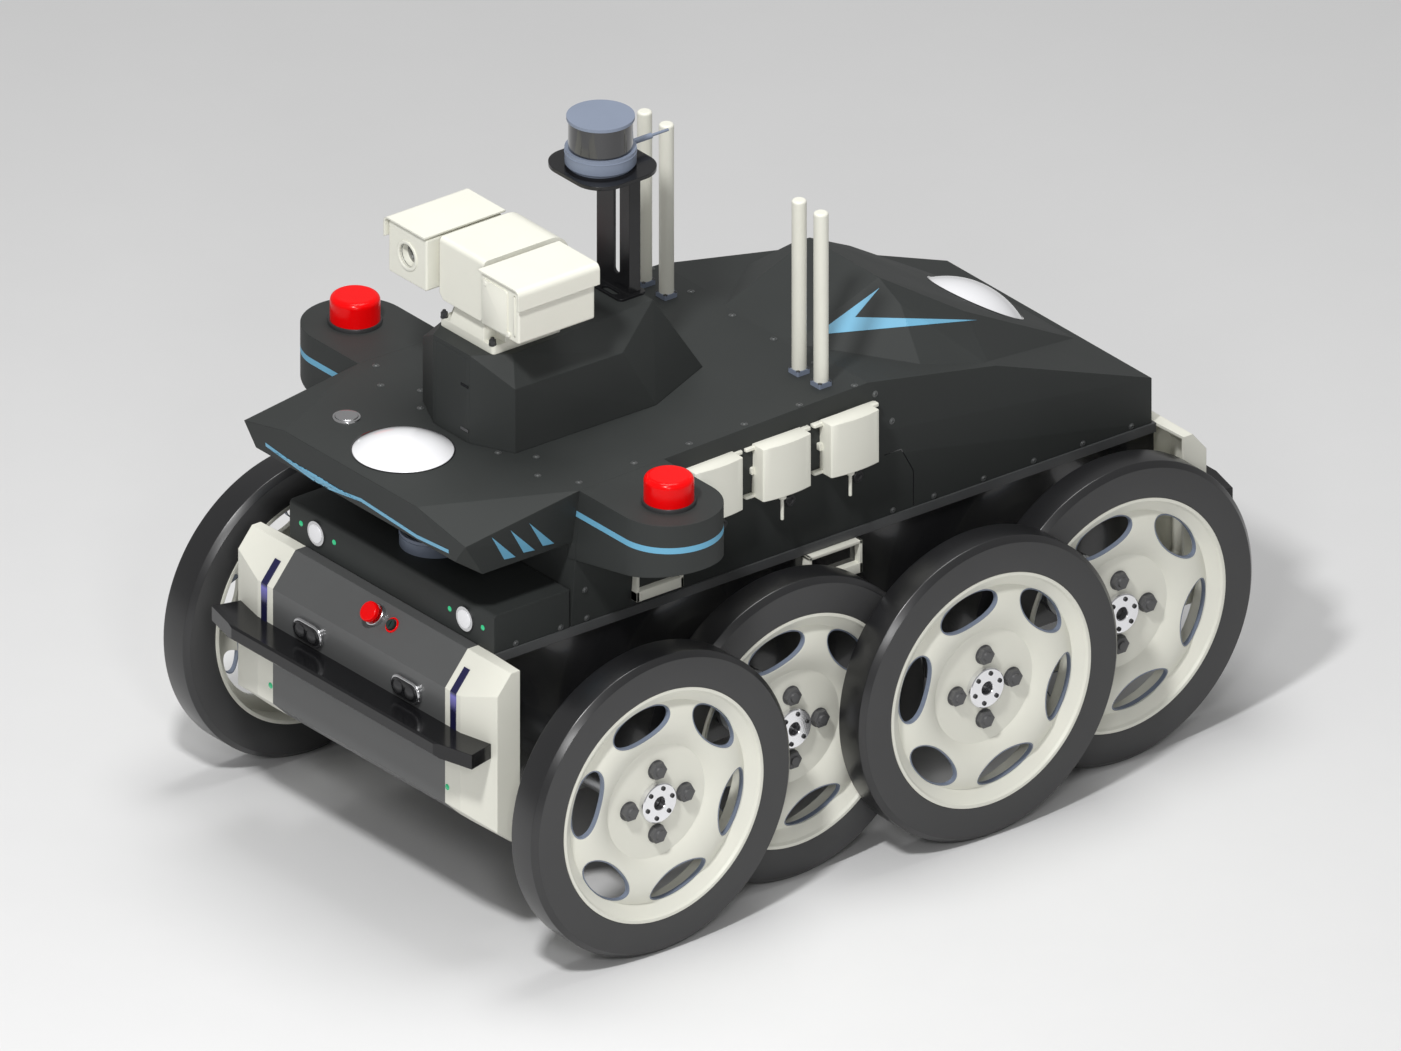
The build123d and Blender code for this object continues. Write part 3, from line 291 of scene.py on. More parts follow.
def to_object(name, mesh_builder, finish_name, body="chassis", at=(0, 0, 0), smooth=True, replaces=()):
    """Make an object from a bmesh in millimetres, put it in place, and let it ride on its body."""
    bmesh.ops.recalc_face_normals(mesh_builder, faces=mesh_builder.faces)
    bmesh.ops.scale(mesh_builder, vec=(MM, MM, MM), verts=mesh_builder.verts)
    mesh = bpy.data.meshes.new(name)
    mesh_builder.to_mesh(mesh)
    mesh_builder.free()
    mesh.materials.append(M[finish_name])
    piece = bpy.data.objects.new(name, mesh)
    piece.location = Vector(at) * MM
    bpy.context.scene.collection.objects.link(piece)
    if smooth:
        mesh.shade_smooth()
        with bpy.context.temp_override(object=piece, active_object=piece, selected_editable_objects=[piece]):
            bpy.ops.object.shade_smooth_by_angle(angle=radians(32))
    bpy.context.view_layer.update()
    if replaces:
        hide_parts(*replaces)
    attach(piece, body)
    return piece


def frame_of(axis, toward=None):
    """Rotation whose Z is the axis and whose X leans towards another direction."""
    z = Vector(axis).normalized()
    if toward is None:
        toward = (1, 0, 0) if abs(z.x) < 0.9 else (0, 1, 0)
    x = Vector(toward)
    x = (x - z * x.dot(z)).normalized()
    return Matrix((x, z.cross(x), z)).transposed()


def add_lathe(bm, profile, centre, axis, segments=48, closed=True):
    """Turn (radius, height) points about an axis; a closed profile gives a solid ring."""
    turn, spot = frame_of(axis), Vector(centre)
    rings = []
    for radius, height in profile:
        if radius < 1e-6:
            rings.append([bm.verts.new(spot + turn @ Vector((0, 0, height)))] * segments)
            continue
        ring = []
        for k in range(segments):
            angle = tau * k / segments
            corner = Vector((radius * cos(angle), radius * sin(angle), height))
            ring.append(bm.verts.new(spot + turn @ corner))
        rings.append(ring)
    pairs = list(zip(rings, rings[1:]))
    if closed:
        pairs.append((rings[-1], rings[0]))
    for low, high in pairs:
        for k in range(segments):
            corners = [low[k - 1], low[k], high[k], high[k - 1]]
            unique = list(dict.fromkeys(corners))
            if len(unique) > 2:
                bm.faces.new(unique)


def add_prism(bm, outline, centre, axis, depth, toward=None, bevel=0.0):
    """Extrude a flat outline (x, y) along the axis, with small chamfers round its far face."""
    turn = frame_of(axis, toward)
    spot = Vector(centre)
    low = [bm.verts.new(spot + turn @ Vector((x, y, 0))) for x, y in outline]
    high = [bm.verts.new(spot + turn @ Vector((x, y, depth))) for x, y in outline]
    made = [bm.faces.new(low[::-1]), bm.faces.new(high)]
    for k in range(len(outline)):
        made.append(bm.faces.new((low[k - 1], low[k], high[k], high[k - 1])))
    if bevel:
        edges = list(made[1].edges)
        bmesh.ops.bevel(bm, geom=edges, offset=bevel, segments=2, affect="EDGES", profile=0.5)


def rounded(width, height, radius, steps=5):
    """Outline of a rectangle with round corners."""
    points = []
    for k, (sx, sy) in enumerate(((1, 1), (-1, 1), (-1, -1), (1, -1))):
        for n in range(steps + 1):
            angle = (k + n / steps) * pi / 2
            x = sx * (width / 2 - radius) + radius * cos(angle)
            y = sy * (height / 2 - radius) + radius * sin(angle)
            points.append((x, y))
    return points


def shell_tree(node):
    """Ray-casting tree of a CAD node's mesh, in metres."""
    graph = bpy.context.evaluated_depsgraph_get()
    return BVHTree.FromObject(frame["nodes"][node], graph)


def draped(name, outline, direction, node, finish_name, lift=0.45, step=7.0):
    """Thin inlay laid on a node along a direction: its outline is filled, divided and dropped on."""
    tree = shell_tree(node)
    way = Vector(direction).normalized()
    bm = bmesh.new()
    ring = [bm.verts.new(Vector(p)) for p in outline]
    bmesh.ops.triangulate(bm, faces=[bm.faces.new(ring)])
    for _ in range(6):
        long_edges = [e for e in bm.edges if e.calc_length() > step]
        if not long_edges:
            break
        bmesh.ops.subdivide_edges(bm, edges=long_edges, cuts=1)
        bmesh.ops.triangulate(bm, faces=bm.faces)
    for vert in bm.verts:
        hit, normal, _, _ = tree.ray_cast((vert.co + way * 60) * MM, -way)
        if hit is not None:
            vert.co = hit / MM + normal * lift
    piece = to_object(name, bm, finish_name, smooth=False)
    thick = piece.modifiers.new("thickness", "SOLIDIFY")
    thick.thickness = 0.8 * MM
    thick.offset = -1
    return piece


def ribbon(points, across, width):
    """Outline of a band of one width along points, widened across a direction."""
    half = Vector(across).normalized() * width / 2
    rows = [Vector(p) for p in points]
    return [p + half for p in rows] + [p - half for p in reversed(rows)]


# ---------------------------------------------------------------- wheels

def wheels():
    """Each wheel as (name, side, outer face, Y, Z), read from its tyre."""
    for side in SIDES:
        for k in range(1, 5):
            name = f"{side_name(side)}_{k}"
            low, high = span(f"tyre_{name}")
            middle = (low + high) / 2
            yield name, side, (high.x if side > 0 else low.x), middle.y, middle.z


WALL_PROFILE = [
    (RIM_R, -1.5), (RIM_R + 1, -0.4), (RIM_R + 4, 0), (SHOULDER_R - 1, 0), (SHOULDER_R, -0.5),
    (SHOULDER_R, -TYRE_W + 0.5), (SHOULDER_R - 1, -TYRE_W), (RIM_R + 4, -TYRE_W), (RIM_R, -TYRE_W + 1.5),
]
TREAD_HALF = [
    (SHOULDER_R - 0.8, -0.2), (SHOULDER_R, -0.35), (TYRE_R - 0.8, -7.8), (TYRE_R - 0.2, -8.6), (TYRE_R, -9.8),
]
TREAD_PROFILE = TREAD_HALF + [(radius, -TYRE_W - height) for radius, height in reversed(TREAD_HALF)]
HUB_PROFILE = [
    (0, -23), (10.5, -23), (10.5, -10.2), (11.5, -9.2), (30.5, -9.0), (32, -10.2), (32, -18.6), (20, -19),
    (20, -27), (62.5, -27), (64, -28.5), (64, -33.5), (62.5, -35), (25, -35), (25, -50),
]
HUB_SCREW_PROFILE = [(0, -1), (3.6, -1), (3.6, 1.4), (3.0, 2.0), (1.8, 2.0), (1.8, 0.6), (0, 0.6)]
HUB_PLUG_PROFILE = [(0, -22.5), (10, -22.5), (10, -21), (0, -20)]


def crown_depth(radius):
    """Depth of the rim's crowned disc below the wheel's face: a parabola through three points."""
    r1, d1, r2, d2, r3, d3 = 92.0, 19.0, 128.0, 6.0, 164.0, 16.0
    low = d1 * (radius - r2) * (radius - r3) / ((r1 - r2) * (r1 - r3))
    mid = d2 * (radius - r1) * (radius - r3) / ((r2 - r1) * (r2 - r3))
    high = d3 * (radius - r1) * (radius - r2) / ((r3 - r1) * (r3 - r2))
    return low + mid + high


def add_window_edge(bm, side, angle, steps=48):
    """Machined edge just inside one window of the rim."""
    rows = []
    for grow, depth in ((-0.3, 0.7), (-2.2, 0.7), (-2.2, 8.6), (-0.3, 8.6)):
        row = []
        for k in range(steps):
            turn = tau * k / steps
            out = WINDOW_R + (WINDOW_OUT + grow) * cos(turn)
            along = (WINDOW_ALONG + grow) * sin(turn)
            radius = hypot(out, along)
            around = angle + atan2(along, out)
            x = -side * (crown_depth(radius) + depth)
            row.append(bm.verts.new((x, radius * cos(around), radius * sin(around))))
        rows.append(row)
    for low, high in zip(rows, rows[1:] + rows[:1]):
        for k in range(steps):
            bm.faces.new((low[k - 1], low[k], high[k], high[k - 1]))


def add_hex_bolt(bm, centre, axis, across, height):
    """Hex head with a washer face, a chamfered top and a small crown."""
    corner = across / 1.732
    flat = [(corner * cos(tau * k / 6), corner * sin(tau * k / 6)) for k in range(6)]
    add_prism(bm, flat, centre, axis, height, bevel=1.0)
    spot = Vector(centre)
    washer = [(0, -0.5), (across * 0.62, -0.5), (across * 0.62, 1.2), (0, 1.2)]
    add_lathe(bm, washer, spot, axis, 24, False)
    top = spot + Vector(axis).normalized() * height
    crown = [(0, -0.2), (across * 0.33, -0.2), (across * 0.28, 3.0), (0, 3.6)]
    add_lathe(bm, crown, top, axis, 20, False)


def on_circle(count, radius, x, start=0.0):
    """Places spaced evenly about a wheel's axis."""
    angles = [tau * k / count + start for k in range(count)]
    return [(x, radius * cos(angle), radius * sin(angle)) for angle in angles]


def make_tyre(name, body, axis, at):
    bm = bmesh.new()
    add_lathe(bm, WALL_PROFILE, (0, 0, 0), axis, 160, True)
    to_object(f"tyre_walls_{name}", bm, "rubber", body, at, replaces=[f"tyre_{name}"])
    bm = bmesh.new()
    add_lathe(bm, TREAD_PROFILE, (0, 0, 0), axis, 160, True)
    to_object(f"tyre_tread_{name}", bm, "tread", body, at)


def make_hub(name, side, body, axis, at):
    """Turned hub with its shaft, the cap screws and plug on its face, and the lug bolts."""
    bm = bmesh.new()
    root = SHAFT_ROOT_X - abs(at[0])
    shaft = [(SHAFT_R, -50), (SHAFT_R, root), (0, root)]
    add_lathe(bm, HUB_PROFILE + shaft, (0, 0, 0), axis, 72, False)
    to_object(f"turned_hub_{name}", bm, "chrome", body, at, replaces=[f"hub_{name}"])
    bm = bmesh.new()
    for spot in on_circle(HUB_SCREWS, HUB_SCREW_CIRCLE_R, -side * 9, radians(15)):
        add_lathe(bm, HUB_SCREW_PROFILE, spot, axis, 20, False)
    add_lathe(bm, HUB_PLUG_PROFILE, (0, 0, 0), axis, 32, False)
    to_object(f"hub_screws_{name}", bm, "bolt", body, at)
    bm = bmesh.new()
    for spot in on_circle(LUGS, LUG_CIRCLE_R, -side * 19):
        add_hex_bolt(bm, spot, axis, 25, 9.8)
    to_object(f"wheel_bolts_{name}", bm, "lug", body, at)


def make_wheels():
    for name, side, face, y, z in wheels():
        body, axis, at = f"wheel_{name}", (side, 0, 0), (face, y, z)
        make_tyre(name, body, axis, at)
        make_hub(name, side, body, axis, at)
        start = WINDOW_START if side > 0 else pi - WINDOW_START
        bm = bmesh.new()
        for k in range(WINDOWS):
            add_window_edge(bm, side, start + tau * k / WINDOWS)
        to_object(f"window_edges_{name}", bm, "slate", body, at)


# ---------------------------------------------------------------- shell trim

def make_inlays():
    """Blue stripe and fins on the nose, and the chevron on the left of the hump."""
    wave = [(-214, -697, 656.5), (-82, -697, 640.5), (17, -697, 655), (150, -697, 646.5), (228, -696, 652.5)]
    draped("nose_stripe", ribbon(wave, UP, 6.2), FRONT, "top_shell", "blue")
    fin, pitch, reach = [(-646, 676), (-612, 623.5), (-590, 620.5)], 36.5, 262
    for side in SIDES:
        for k in range(3):
            outline = [(side * reach, y + pitch * k, z) for y, z in fin]
            draped(f"nose_fin_{side_name(side)}_{k + 1}", outline, (side, 0, 0), "top_shell", "blue")
    chevron = [(95, 101.6, 714.2), (95.7, 223, 755.5), (107, 168, 728), (146, 368, 676.5)]
    draped("hump_chevron", chevron, (0.7, -0.55, 0.45), "top_shell", "blue", step=5.0)


# ---------------------------------------------------------------- fasteners

def add_screw(bm, spot, normal, radius=4.2, height=2.4):
    """Button-head screw with a socket."""
    add_lathe(bm, [
        (radius + 1.4, -0.6), (radius + 1.4, 0.5), (radius, 0.6), (radius * 0.96, height * 0.5),
        (radius * 0.6, height), (radius * 0.42, height), (radius * 0.42, height * 0.35), (0, height * 0.35),
    ], spot, normal, 18, False)


def on_node(tree, spot, way):
    """Point and normal where a line comes down on a node, in millimetres."""
    way = Vector(way).normalized()
    hit, normal, _, _ = tree.ray_cast((Vector(spot) + way * 50) * MM, -way)
    return hit / MM, normal


def make_shell_screws():
    """Rows of screws on the deck, and on the flanks above the rails."""
    tree = shell_tree("top_shell")
    deck = [(side * 246, -464 + 104.4 * k) for side in SIDES for k in range(6)]
    for y, places in ((-498.5, (94, 190)), (-462, (140,)), (58, (50, 150))):
        deck += [(side * x, y) for side in SIDES for x in places]
    bm = bmesh.new()
    for x, y in deck:
        add_screw(bm, (x, y, DECK), UP)
    flank = [(92, 681), (121.5, 628), (-458, 524)]
    flank += [(y, RAIL_SCREW_Z) for y in (-451, 129, 207, 301, 396, 489, 581)]
    for side in SIDES:
        for y, z in flank:
            add_screw(bm, *on_node(tree, (side * FLANK_X, y, z), (side, 0, 0)), radius=3.8, height=2.2)
    to_object("shell_screws", bm, "screw")


def make_screws():
    make_shell_screws()
    bm = bmesh.new()
    for side in SIDES:
        for y in (-585, -500):
            add_screw(bm, (side * 247.5, y, 472), (side, 0, 0), radius=3.8, height=2.2)
    to_object("sensor_box_screws", bm, "screw")
    bm = bmesh.new()
    for side in SIDES:
        for y in (-481, -359):
            add_hex_bolt(bm, (side * 58.5, y, 864), UP, 9.5, 9)
    to_object("camera_base_bolts", bm, "bolt")


# ---------------------------------------------------------------- front and rear faces

def on_slant(x, along):
    """Point on the slanted face: along runs from 0 at its crease to 1 at its top edge."""
    return Vector((x, COVER_FRONT + SLANT_RUN * along, SLANT_CREASE_Z + SLANT_RISE * along))


def make_contacts():
    """Dark insert and two lenses in each charging contact."""
    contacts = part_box("docking_contacts")
    face, z = contacts[0][1] / MM, (contacts[0][2] + contacts[1][2]) / 2 / MM
    lens = [(10.5, 0), (10.5, 1.6), (9, 3.0), (6, 4.4), (3, 5.1), (0, 5.3)]
    for side in SIDES:
        bm = bmesh.new()
        add_prism(bm, rounded(62, 28, 14, 8), (0, 0, 0), FRONT, 1.4, toward=(1, 0, 0), bevel=0.6)
        spot = (side * CONTACT_X, face + 0.4, z)
        to_object(f"contact_insert_{side_name(side)}", bm, "black", at=spot)
        bm = bmesh.new()
        for shift in (-CONTACT_LENS_SHIFT, CONTACT_LENS_SHIFT):
            add_lathe(bm, lens, (shift, 0, 0), FRONT, 36, False)
        spot = (side * CONTACT_X, face - 0.8, z)
        to_object(f"contact_lenses_{side_name(side)}", bm, "bolt", at=spot)


def make_sonar_membranes():
    disc = [(0, -3), (15.2, -3), (14.6, 1.2), (10, 1.6), (0, 1.8)]
    bm = bmesh.new()
    for side in SIDES:
        add_lathe(bm, disc, (side * SONAR_X, BOX_FRONT - 4, SONAR_Z), FRONT, 40, False)
    to_object("sonar_membranes", bm, "white")


def make_green_lamps():
    """A lamp on each side of each sonar, and one on each corner guard."""
    small = [(4.4, -1), (4.4, 0.4), (3.2, 1.5), (1.5, 2.1), (0, 2.2)]
    large = [(4.8, -1), (4.8, 0.5), (3.4, 1.7), (1.5, 2.3), (0, 2.4)]
    bm = bmesh.new()
    for side in SIDES:
        for shift in (-SONAR_LAMP_SHIFT, SONAR_LAMP_SHIFT):
            add_lathe(bm, small, (side * SONAR_X + shift, BOX_FRONT, SONAR_Z), FRONT, 20, False)
        for end in (1, -1):
            add_lathe(bm, large, (side * 214, end * COVER_FRONT, 251), (0, -end, 0), 20, False)
    to_object("green_lamps", bm, "green")


def make_slant_rings():
    """Rings round the key switch and the emergency stop on the slanted face."""
    slant = Vector((0, -SLANT_RISE, SLANT_RUN)).normalized()
    key_low, key_high = span("key_switch")
    key_middle = (key_low + key_high) / 2
    ring = [(9.6, -0.5), (9.6, 2.0), (10.2, 2.6), (11.3, 2.6), (12.0, 1.8), (12.0, -0.5)]
    bm = bmesh.new()
    add_lathe(bm, ring, (0, 0, 0), slant, 40, True)
    to_object("key_ring", bm, "red", at=on_slant(key_middle.x, 0.62))
    ring = [(13.2, 0.2), (13.2, 7.0), (14.0, 7.6), (16.4, 7.6), (17.4, 6.8), (17.8, 0.2)]
    bm = bmesh.new()
    add_lathe(bm, ring, (0, 0, 0), slant, 48, True)
    to_object("estop_collar_ring", bm, "steel", at=on_slant(8, 0.63))


def make_front_details():
    make_contacts()
    make_sonar_membranes()
    make_green_lamps()
    make_slant_rings()


# ---------------------------------------------------------------- boxes on the flanks

def bowed_outline(width, back, front, bow, steps=14):
    """Plan of a box with a gently bowed front and round front corners."""
    points = [(-width / 2, back), (-width / 2, front - 2)]
    for k in range(steps + 1):
        t = -1 + 2 * k / steps
        points.append((t * (width / 2 - 1.6), front + bow * (1 - t * t)))
    return points + [(width / 2, front - 2), (width / 2, back)]


def add_box_plate(bm, side, y, top, bottom):
    """Back plate of a flank box, with a lug at each corner and a hinge at each end."""
    out = (side, 0, 0)
    plate = rounded(FLANK_BOX_W - 8, 82, 3)
    add_prism(bm, plate, (side * 252, y, bottom + 43), out, 9, toward=(0, 1, 0))
    for end in (-1, 1):
        for z in (top - 5, bottom + 3):
            spot = (side * 260.5, y + end * (FLANK_BOX_W / 2 + 3), z - 2.5)
            add_prism(bm, rounded(26, 13, 3), spot, UP, 4.6, toward=(0, 1, 0), bevel=0.7)
        spot = (side * 256, y + end * (FLANK_BOX_W / 2 + 1), bottom + 44)
        add_prism(bm, rounded(10, 12, 2), spot, out, 10, toward=(0, 1, 0))


GLAND_PROFILE = [
    (7.5, 0.5), (7.5, -4), (6.4, -4.6), (6.4, -8.4), (5.2, -9.6), (2.7, -9.8), (2.7, -44.2), (1.9, -45),
    (0, -45),
]
GROMMET_PROFILE = [(3.4, -1), (3.4, 1.6), (5.2, 3.0), (8.2, 3.0), (9.4, 1.8), (9.6, -1)]
GROMMET_FILL = [(0, 0.4), (4.4, 0.4), (4.4, 0.9), (0, 0.9)]


def make_flank_boxes():
    """Three boxes on each side: bowed cover, back plate with lugs, gland, probe and grommet."""
    _, high = span("junction_boxes")
    top, bottom, face = high.z, high.z - FLANK_BOX_H, high.x - 5
    covers, plates, glands, grommets = (bmesh.new() for _ in range(4))
    bowed = bowed_outline(FLANK_BOX_W, 0, face - FLANK_BOX_BACK, 4.6)
    for side in SIDES:
        out = (side, 0, 0)
        plan = [(away, side * along) for along, away in bowed]
        for k in range(FLANK_BOXES):
            y = high.y - FLANK_BOX_W / 2 - FLANK_BOX_PITCH * k
            corner = (side * FLANK_BOX_BACK, y, bottom)
            add_prism(covers, plan, corner, UP, top - bottom, toward=out, bevel=1.5)
            add_box_plate(plates, side, y, top, bottom)
            add_lathe(glands, GLAND_PROFILE, (side * 280, y - 4, bottom), UP, 28, False)
            hole = Vector((side * 255.5, y + 29.5, 555.5))
            add_lathe(grommets, GROMMET_PROFILE, hole, out, 28, True)
            add_lathe(grommets, GROMMET_FILL, hole, out, 28, False)
    to_object("flank_box_covers", covers, "cream", replaces=["junction_boxes"])
    to_object("flank_box_plates", plates, "cream")
    to_object("flank_box_probes", glands, "cream")
    to_object("cable_grommets", grommets, "bolt")


def add_port(bm, side, y_low, y_high, z_low, z_high):
    """Rectangular cable port standing out of the flank."""
    spans = [
        ((y_low, y_high), (z_low, z_low + 3 * PORT_WALL)),
        ((y_low, y_high), (z_high - PORT_WALL, z_high)),
        ((y_low, y_low + PORT_WALL), (z_low, z_high)),
        ((y_high - PORT_WALL, y_high), (z_low, z_high)),
    ]
    for (y0, y1), (z0, z1) in spans:
        plate = rounded(y1 - y0, z1 - z0, 1.2, 3)
        spot = (side * PORT_INNER, (y0 + y1) / 2, (z0 + z1) / 2)
        add_prism(bm, plate, spot, (side, 0, 0), PORT_OUTER - PORT_INNER, toward=(0, 1, 0), bevel=0.8)


def make_ports():
    """Two cable ports on each flank, each with a dark plate inside that is painted shade standing in for the
    shadow inside the port.
    """
    bm, shade_plates = bmesh.new(), bmesh.new()
    for side in SIDES:
        for y0, y1, z0, z1 in PORTS:
            add_port(bm, side, y0, y1, z0, z1)
            # Dark plate set back in the port: painted shade where the inside of the port lies in shadow.
            plate = rounded(y1 - y0 - 8, z1 - z0 - 8, 2, 3)
            spot = (side * (PORT_INNER - 1), (y0 + y1) / 2, (z0 + z1) / 2)
            add_prism(shade_plates, plate, spot, (side, 0, 0), 6, toward=(0, 1, 0))
    to_object("cable_ports", bm, "cream")
    to_object("port_shade_plates", shade_plates, "window")


def make_panel_gaps():
    """Outline of the access panel behind the flank boxes, one thin band for each of its edges."""
    outline, reach = [(106.3, 576.2), (138, 576.2), (164, 531.7), (168, 470)], 262
    for side in SIDES:
        for k, ((y0, z0), (y1, z1)) in enumerate(zip(outline, outline[1:])):
            across = Vector((0, z0 - z1, y1 - y0))
            band = ribbon([(side * reach, y0, z0), (side * reach, y1, z1)], across, 1.6)
            name = f"panel_gap_{side_name(side)}_{k + 1}"
            draped(name, band, (side, 0, 0), "top_shell", "window", lift=0.12)


# ---------------------------------------------------------------- deck pieces

def make_beacon_seats():
    low, high = span("beacons")
    radius = (high.y - low.y) / 2
    y = (high.y + low.y) / 2
    x = high.x - radius
    ring = [
        (radius - 2, -0.5), (radius - 2, 5), (radius + 0.6, 6.4), (radius + 2.4, 6.4), (radius + 3.2, 5),
        (radius + 3.2, -0.5),
    ]
    bm = bmesh.new()
    for side in SIDES:
        add_lathe(bm, ring, (side * x, y, DECK), UP, 64, True)
    to_object("beacon_bases", bm, "bolt")


def make_button_bezel():
    low, high = span("power_button")
    middle = (low + high) / 2
    ring = [(17.3, -1), (17.3, 1.6), (18.2, 2.4), (21, 2.0), (22, 0.4), (22, -1)]
    bm = bmesh.new()
    add_lathe(bm, ring, (middle.x, middle.y, DECK), UP, 48, True)
    to_object("button_bezel", bm, "steel")


def make_dome_seals():
    """Dark ring round the dome on the nose and round the one on the hump's rear slope."""
    seal = [(76.2, -0.6), (76.2, 0.9), (77.2, 1.3), (78.6, 0.9), (78.8, -0.6)]
    tilt = atan2(HUMP_SLOPE, 1)
    rear = Vector((0, HUMP_DOME_Y, HUMP_TOP_Z - HUMP_SLOPE * (HUMP_DOME_Y - HUMP_TOP_Y)))
    bm = bmesh.new()
    add_lathe(bm, seal, (0, NOSE_DOME_Y, DECK), UP, 96, True)
    add_lathe(bm, seal, rear, (0, sin(tilt), cos(tilt)), 96, True)
    to_object("dome_seals", bm, "window")


def make_prow_slots():
    bm = bmesh.new()
    for z in (796, 722.7):
        add_prism(bm, rounded(19, 4.6, 2.2), (33, -514.2, z), FRONT, 0.5, toward=(1, 0, 0))
    to_object("prow_slots", bm, "window")


def make_antenna_screws():
    foot_top = span("antennas")[0].z
    shifts = (-ANTENNA_SCREW_SHIFT, ANTENNA_SCREW_SHIFT)
    bm = bmesh.new()
    for side in SIDES:
        for x in ANTENNA_XS:
            for dx in shifts:
                for dy in shifts:
                    spot = (side * x + dx, ANTENNA_Y + dy, foot_top)
                    add_screw(bm, spot, UP, radius=1.9, height=1.3)
    to_object("antenna_screws", bm, "bolt")


def make_deck_pieces():
    make_beacon_seats()
    make_button_bezel()
    make_dome_seals()
    make_prow_slots()
    make_antenna_screws()


# ---------------------------------------------------------------- camera and scanner

def make_lens(front, z):
    """Ring, stepped barrel and glass in the right head."""
    spot = (-HEAD_X, front, z)
    ring = [(18.6, -2), (18.6, 1.2), (20, 2.2), (23, 2.2), (24.2, 1.4), (24.2, -0.4)]
    heights = [-3.5 - 2.2 * k - 0.9 * n for k in range(5) for n in (0, 1)]
    barrel = [(19.4 - 0.25 * k, height) for k, height in enumerate(heights)]
    bm = bmesh.new()
    add_lathe(bm, ring, spot, FRONT, 64, True)
    add_lathe(bm, barrel + [(16.6, -14.5), (20.4, -14.5), (20.4, -3)], spot, FRONT, 64, True)
    to_object("lens_ring", bm, "cream", "camera_unit")
    glass = [(0, -11.2), (8, -11.5), (13, -12.4), (16.8, -13.8), (16.8, -14.6), (0, -14.6)]
    bm = bmesh.new()
    add_lathe(bm, glass, spot, FRONT, 48, False)
    to_object("lens_glass", bm, "window", "camera_unit")


def make_thermal_door(front, z):
    """Door, hinge bar and two studs on the face of the left head."""
    across = (1, 0, 0)
    bm = bmesh.new()
    add_prism(bm, rounded(60, 74, 5), (HEAD_X - 11, front + 0.5, z - 1), FRONT, 2.6, toward=across, bevel=1.0)
    add_prism(bm, rounded(4.4, 64, 1.6), (HEAD_X + 35, front + 2.5, z), FRONT, 3.6, toward=across, bevel=0.6)
    for dx, dz in ((-34, 30), (22, -34)):
        stud = [(4.6, 0), (4.6, 2.6), (3.4, 3.4), (0, 3.4)]
        add_lathe(bm, stud, (HEAD_X + dx, front, z + dz), FRONT, 20, False)
    to_object("thermal_door", bm, "cream", "camera_unit")


def make_camera_details():
    low, high = span("camera_heads")
    front, middle_z = low.y, (low.z + high.z) / 2
    make_lens(front, middle_z)
    make_thermal_door(front, middle_z)
    body_side = span("pan_body")[1].x
    boss = [(30, 0), (30, 5.5), (28.5, 7.5), (12.3, 7.5), (12.3, 0)]
    bm = bmesh.new()
    for side in SIDES:
        add_lathe(bm, boss, (side * body_side, TILT_Y, middle_z), (side, 0, 0), 56, True)
    to_object("tilt_bosses", bm, "cream", "pan_unit")
    seal = [(46, 0), (46, 1.4), (44.5, 1.9), (20.4, 1.9), (20.4, 0)]
    bm = bmesh.new()
    add_lathe(bm, seal, (0, PAN_Y, PAN_SEAL_Z), UP, 72, True)
    to_object("pan_seal", bm, "bolt")


def make_scanner_details():
    """Raised seam round the base of each scanner."""
    seam = [(54.0, -57.2), (54.7, -57.6), (54.7, -58.8), (54.0, -59.2), (52, -59.2), (52, -57.2)]
    top = span("scanner_base")[1].z
    for name, y, drop in (("mast", MAST_SCANNER_Y, 0), ("nose", NOSE_SCANNER_Y, NOSE_SCANNER_DROP)):
        bm = bmesh.new()
        add_lathe(bm, seam, (0, y, top - drop), UP, 96, True)
        to_object(f"{name}_scanner_trim", bm, "slate")


# ---------------------------------------------------------------- stage

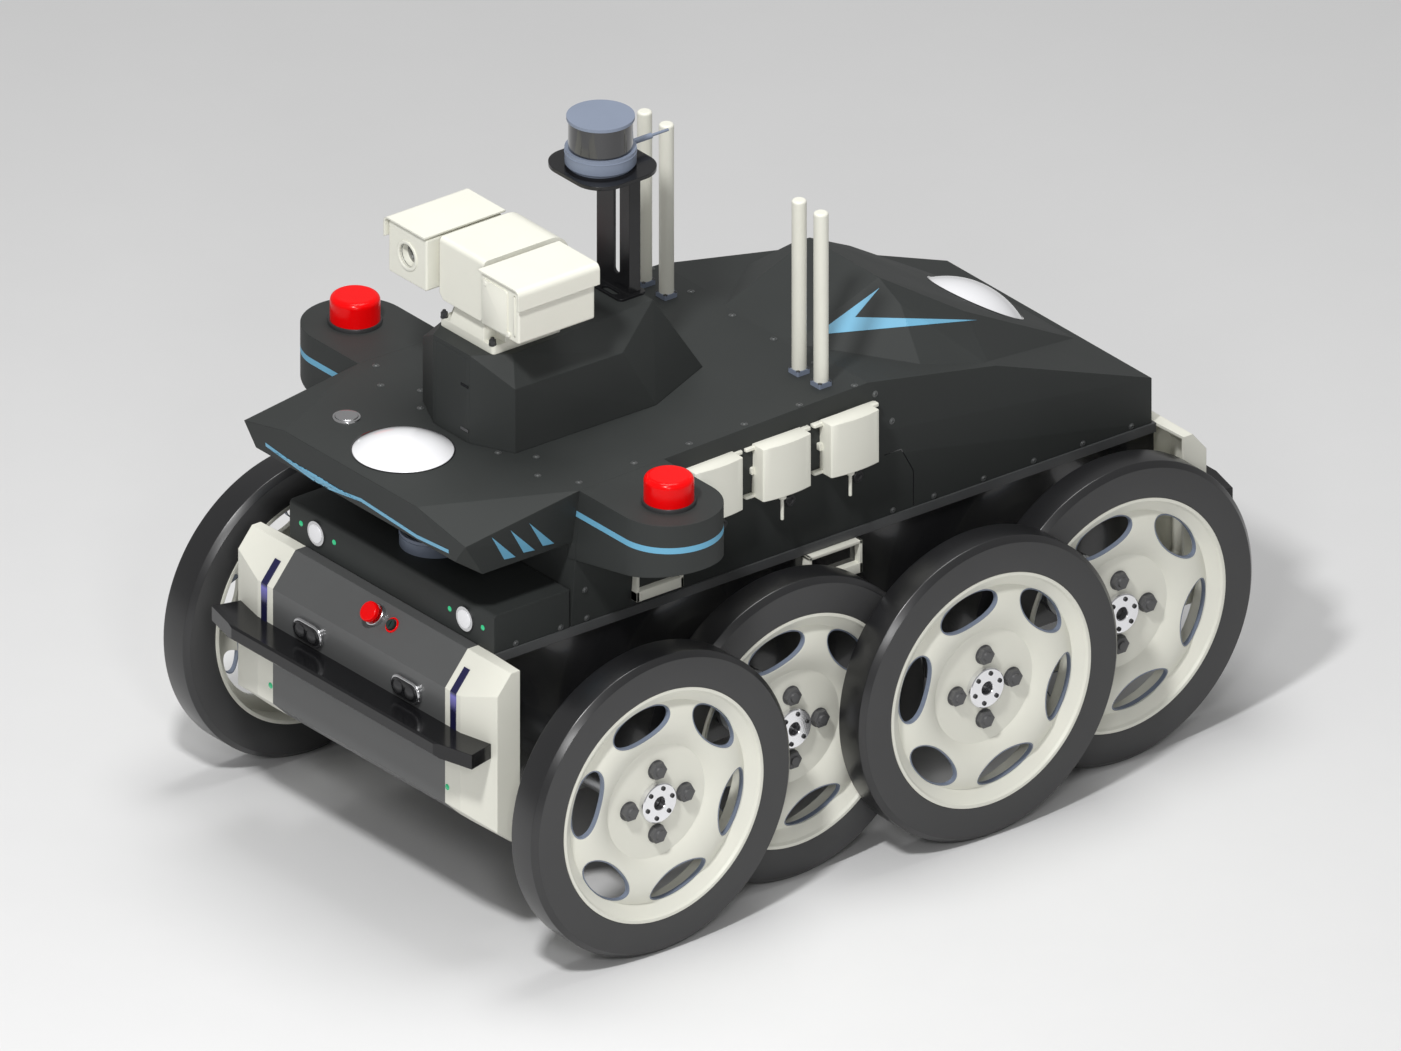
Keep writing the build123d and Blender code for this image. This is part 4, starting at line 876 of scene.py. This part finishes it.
def make_stage():
    bm = bmesh.new()
    bmesh.ops.create_grid(bm, x_segments=1, y_segments=1, size=30)
    mesh = bpy.data.meshes.new("floor")
    bm.to_mesh(mesh)
    bm.free()
    floor = bpy.data.objects.new("floor", mesh)
    floor.location.z = -0.0005
    paper = finish("floor_paper", (0.76, 0.76, 0.76), 0.9, grain=60.0, depth=0.02, mottle=0.005, spec=0.1)
    mesh.materials.append(paper)
    bpy.context.scene.collection.objects.link(floor)


def add_light(name, place, aim, size, power):
    """Round area light; its place, aim and size are in metres and its power in watts."""
    lamp = bpy.data.lights.new(name, "AREA")
    lamp.shape = "DISK"
    lamp.size = size
    lamp.energy = power
    rig = bpy.data.objects.new(name, lamp)
    rig.location = place
    rig.rotation_euler = (Vector(aim) - Vector(place)).to_track_quat("-Z", "Y").to_euler()
    bpy.context.scene.collection.objects.link(rig)


AIM = Vector((-0.0026, -0.0392, 0.4008))
AZIMUTH, ELEVATION, VIEW_WIDTH, DISTANCE = radians(51.96), radians(26.7), 2.091, 6.0


def make_camera():
    lens = bpy.data.cameras.new("camera")
    lens.type = "ORTHO"
    lens.ortho_scale = VIEW_WIDTH
    camera = bpy.data.objects.new("camera", lens)
    away = Vector((sin(AZIMUTH) * cos(ELEVATION), -cos(AZIMUTH) * cos(ELEVATION), sin(ELEVATION)))
    camera.location = AIM + away * DISTANCE
    camera.rotation_euler = (-away).to_track_quat("-Z", "Y").to_euler()
    bpy.context.scene.collection.objects.link(camera)
    bpy.context.scene.camera = camera


def make_studio():
    world = bpy.data.worlds.new("studio")
    bpy.context.scene.world = world
    world.use_nodes = True
    back = world.node_tree.nodes["Background"]
    back.inputs["Color"].default_value = (1, 1, 1, 1)
    back.inputs["Strength"].default_value = 0.34
    bpy.context.scene.view_settings.view_transform = "Standard"
    aim = (0, 0, 0.4)
    add_light("key", (1.8, -2.8, 4.4), aim, 0.5, 150)
    add_light("head", (4.2, -3.3, 3.1), aim, 0.8, 48)
    add_light("top", (-0.3, 0.3, 5.0), aim, 2.4, 85)


make_camera()
make_stage()
make_studio()
paint_nodes()
make_wheels()
make_inlays()
make_screws()
make_front_details()
make_flank_boxes()
make_ports()
make_panel_gaps()
make_deck_pieces()
make_camera_details()
make_scanner_details()
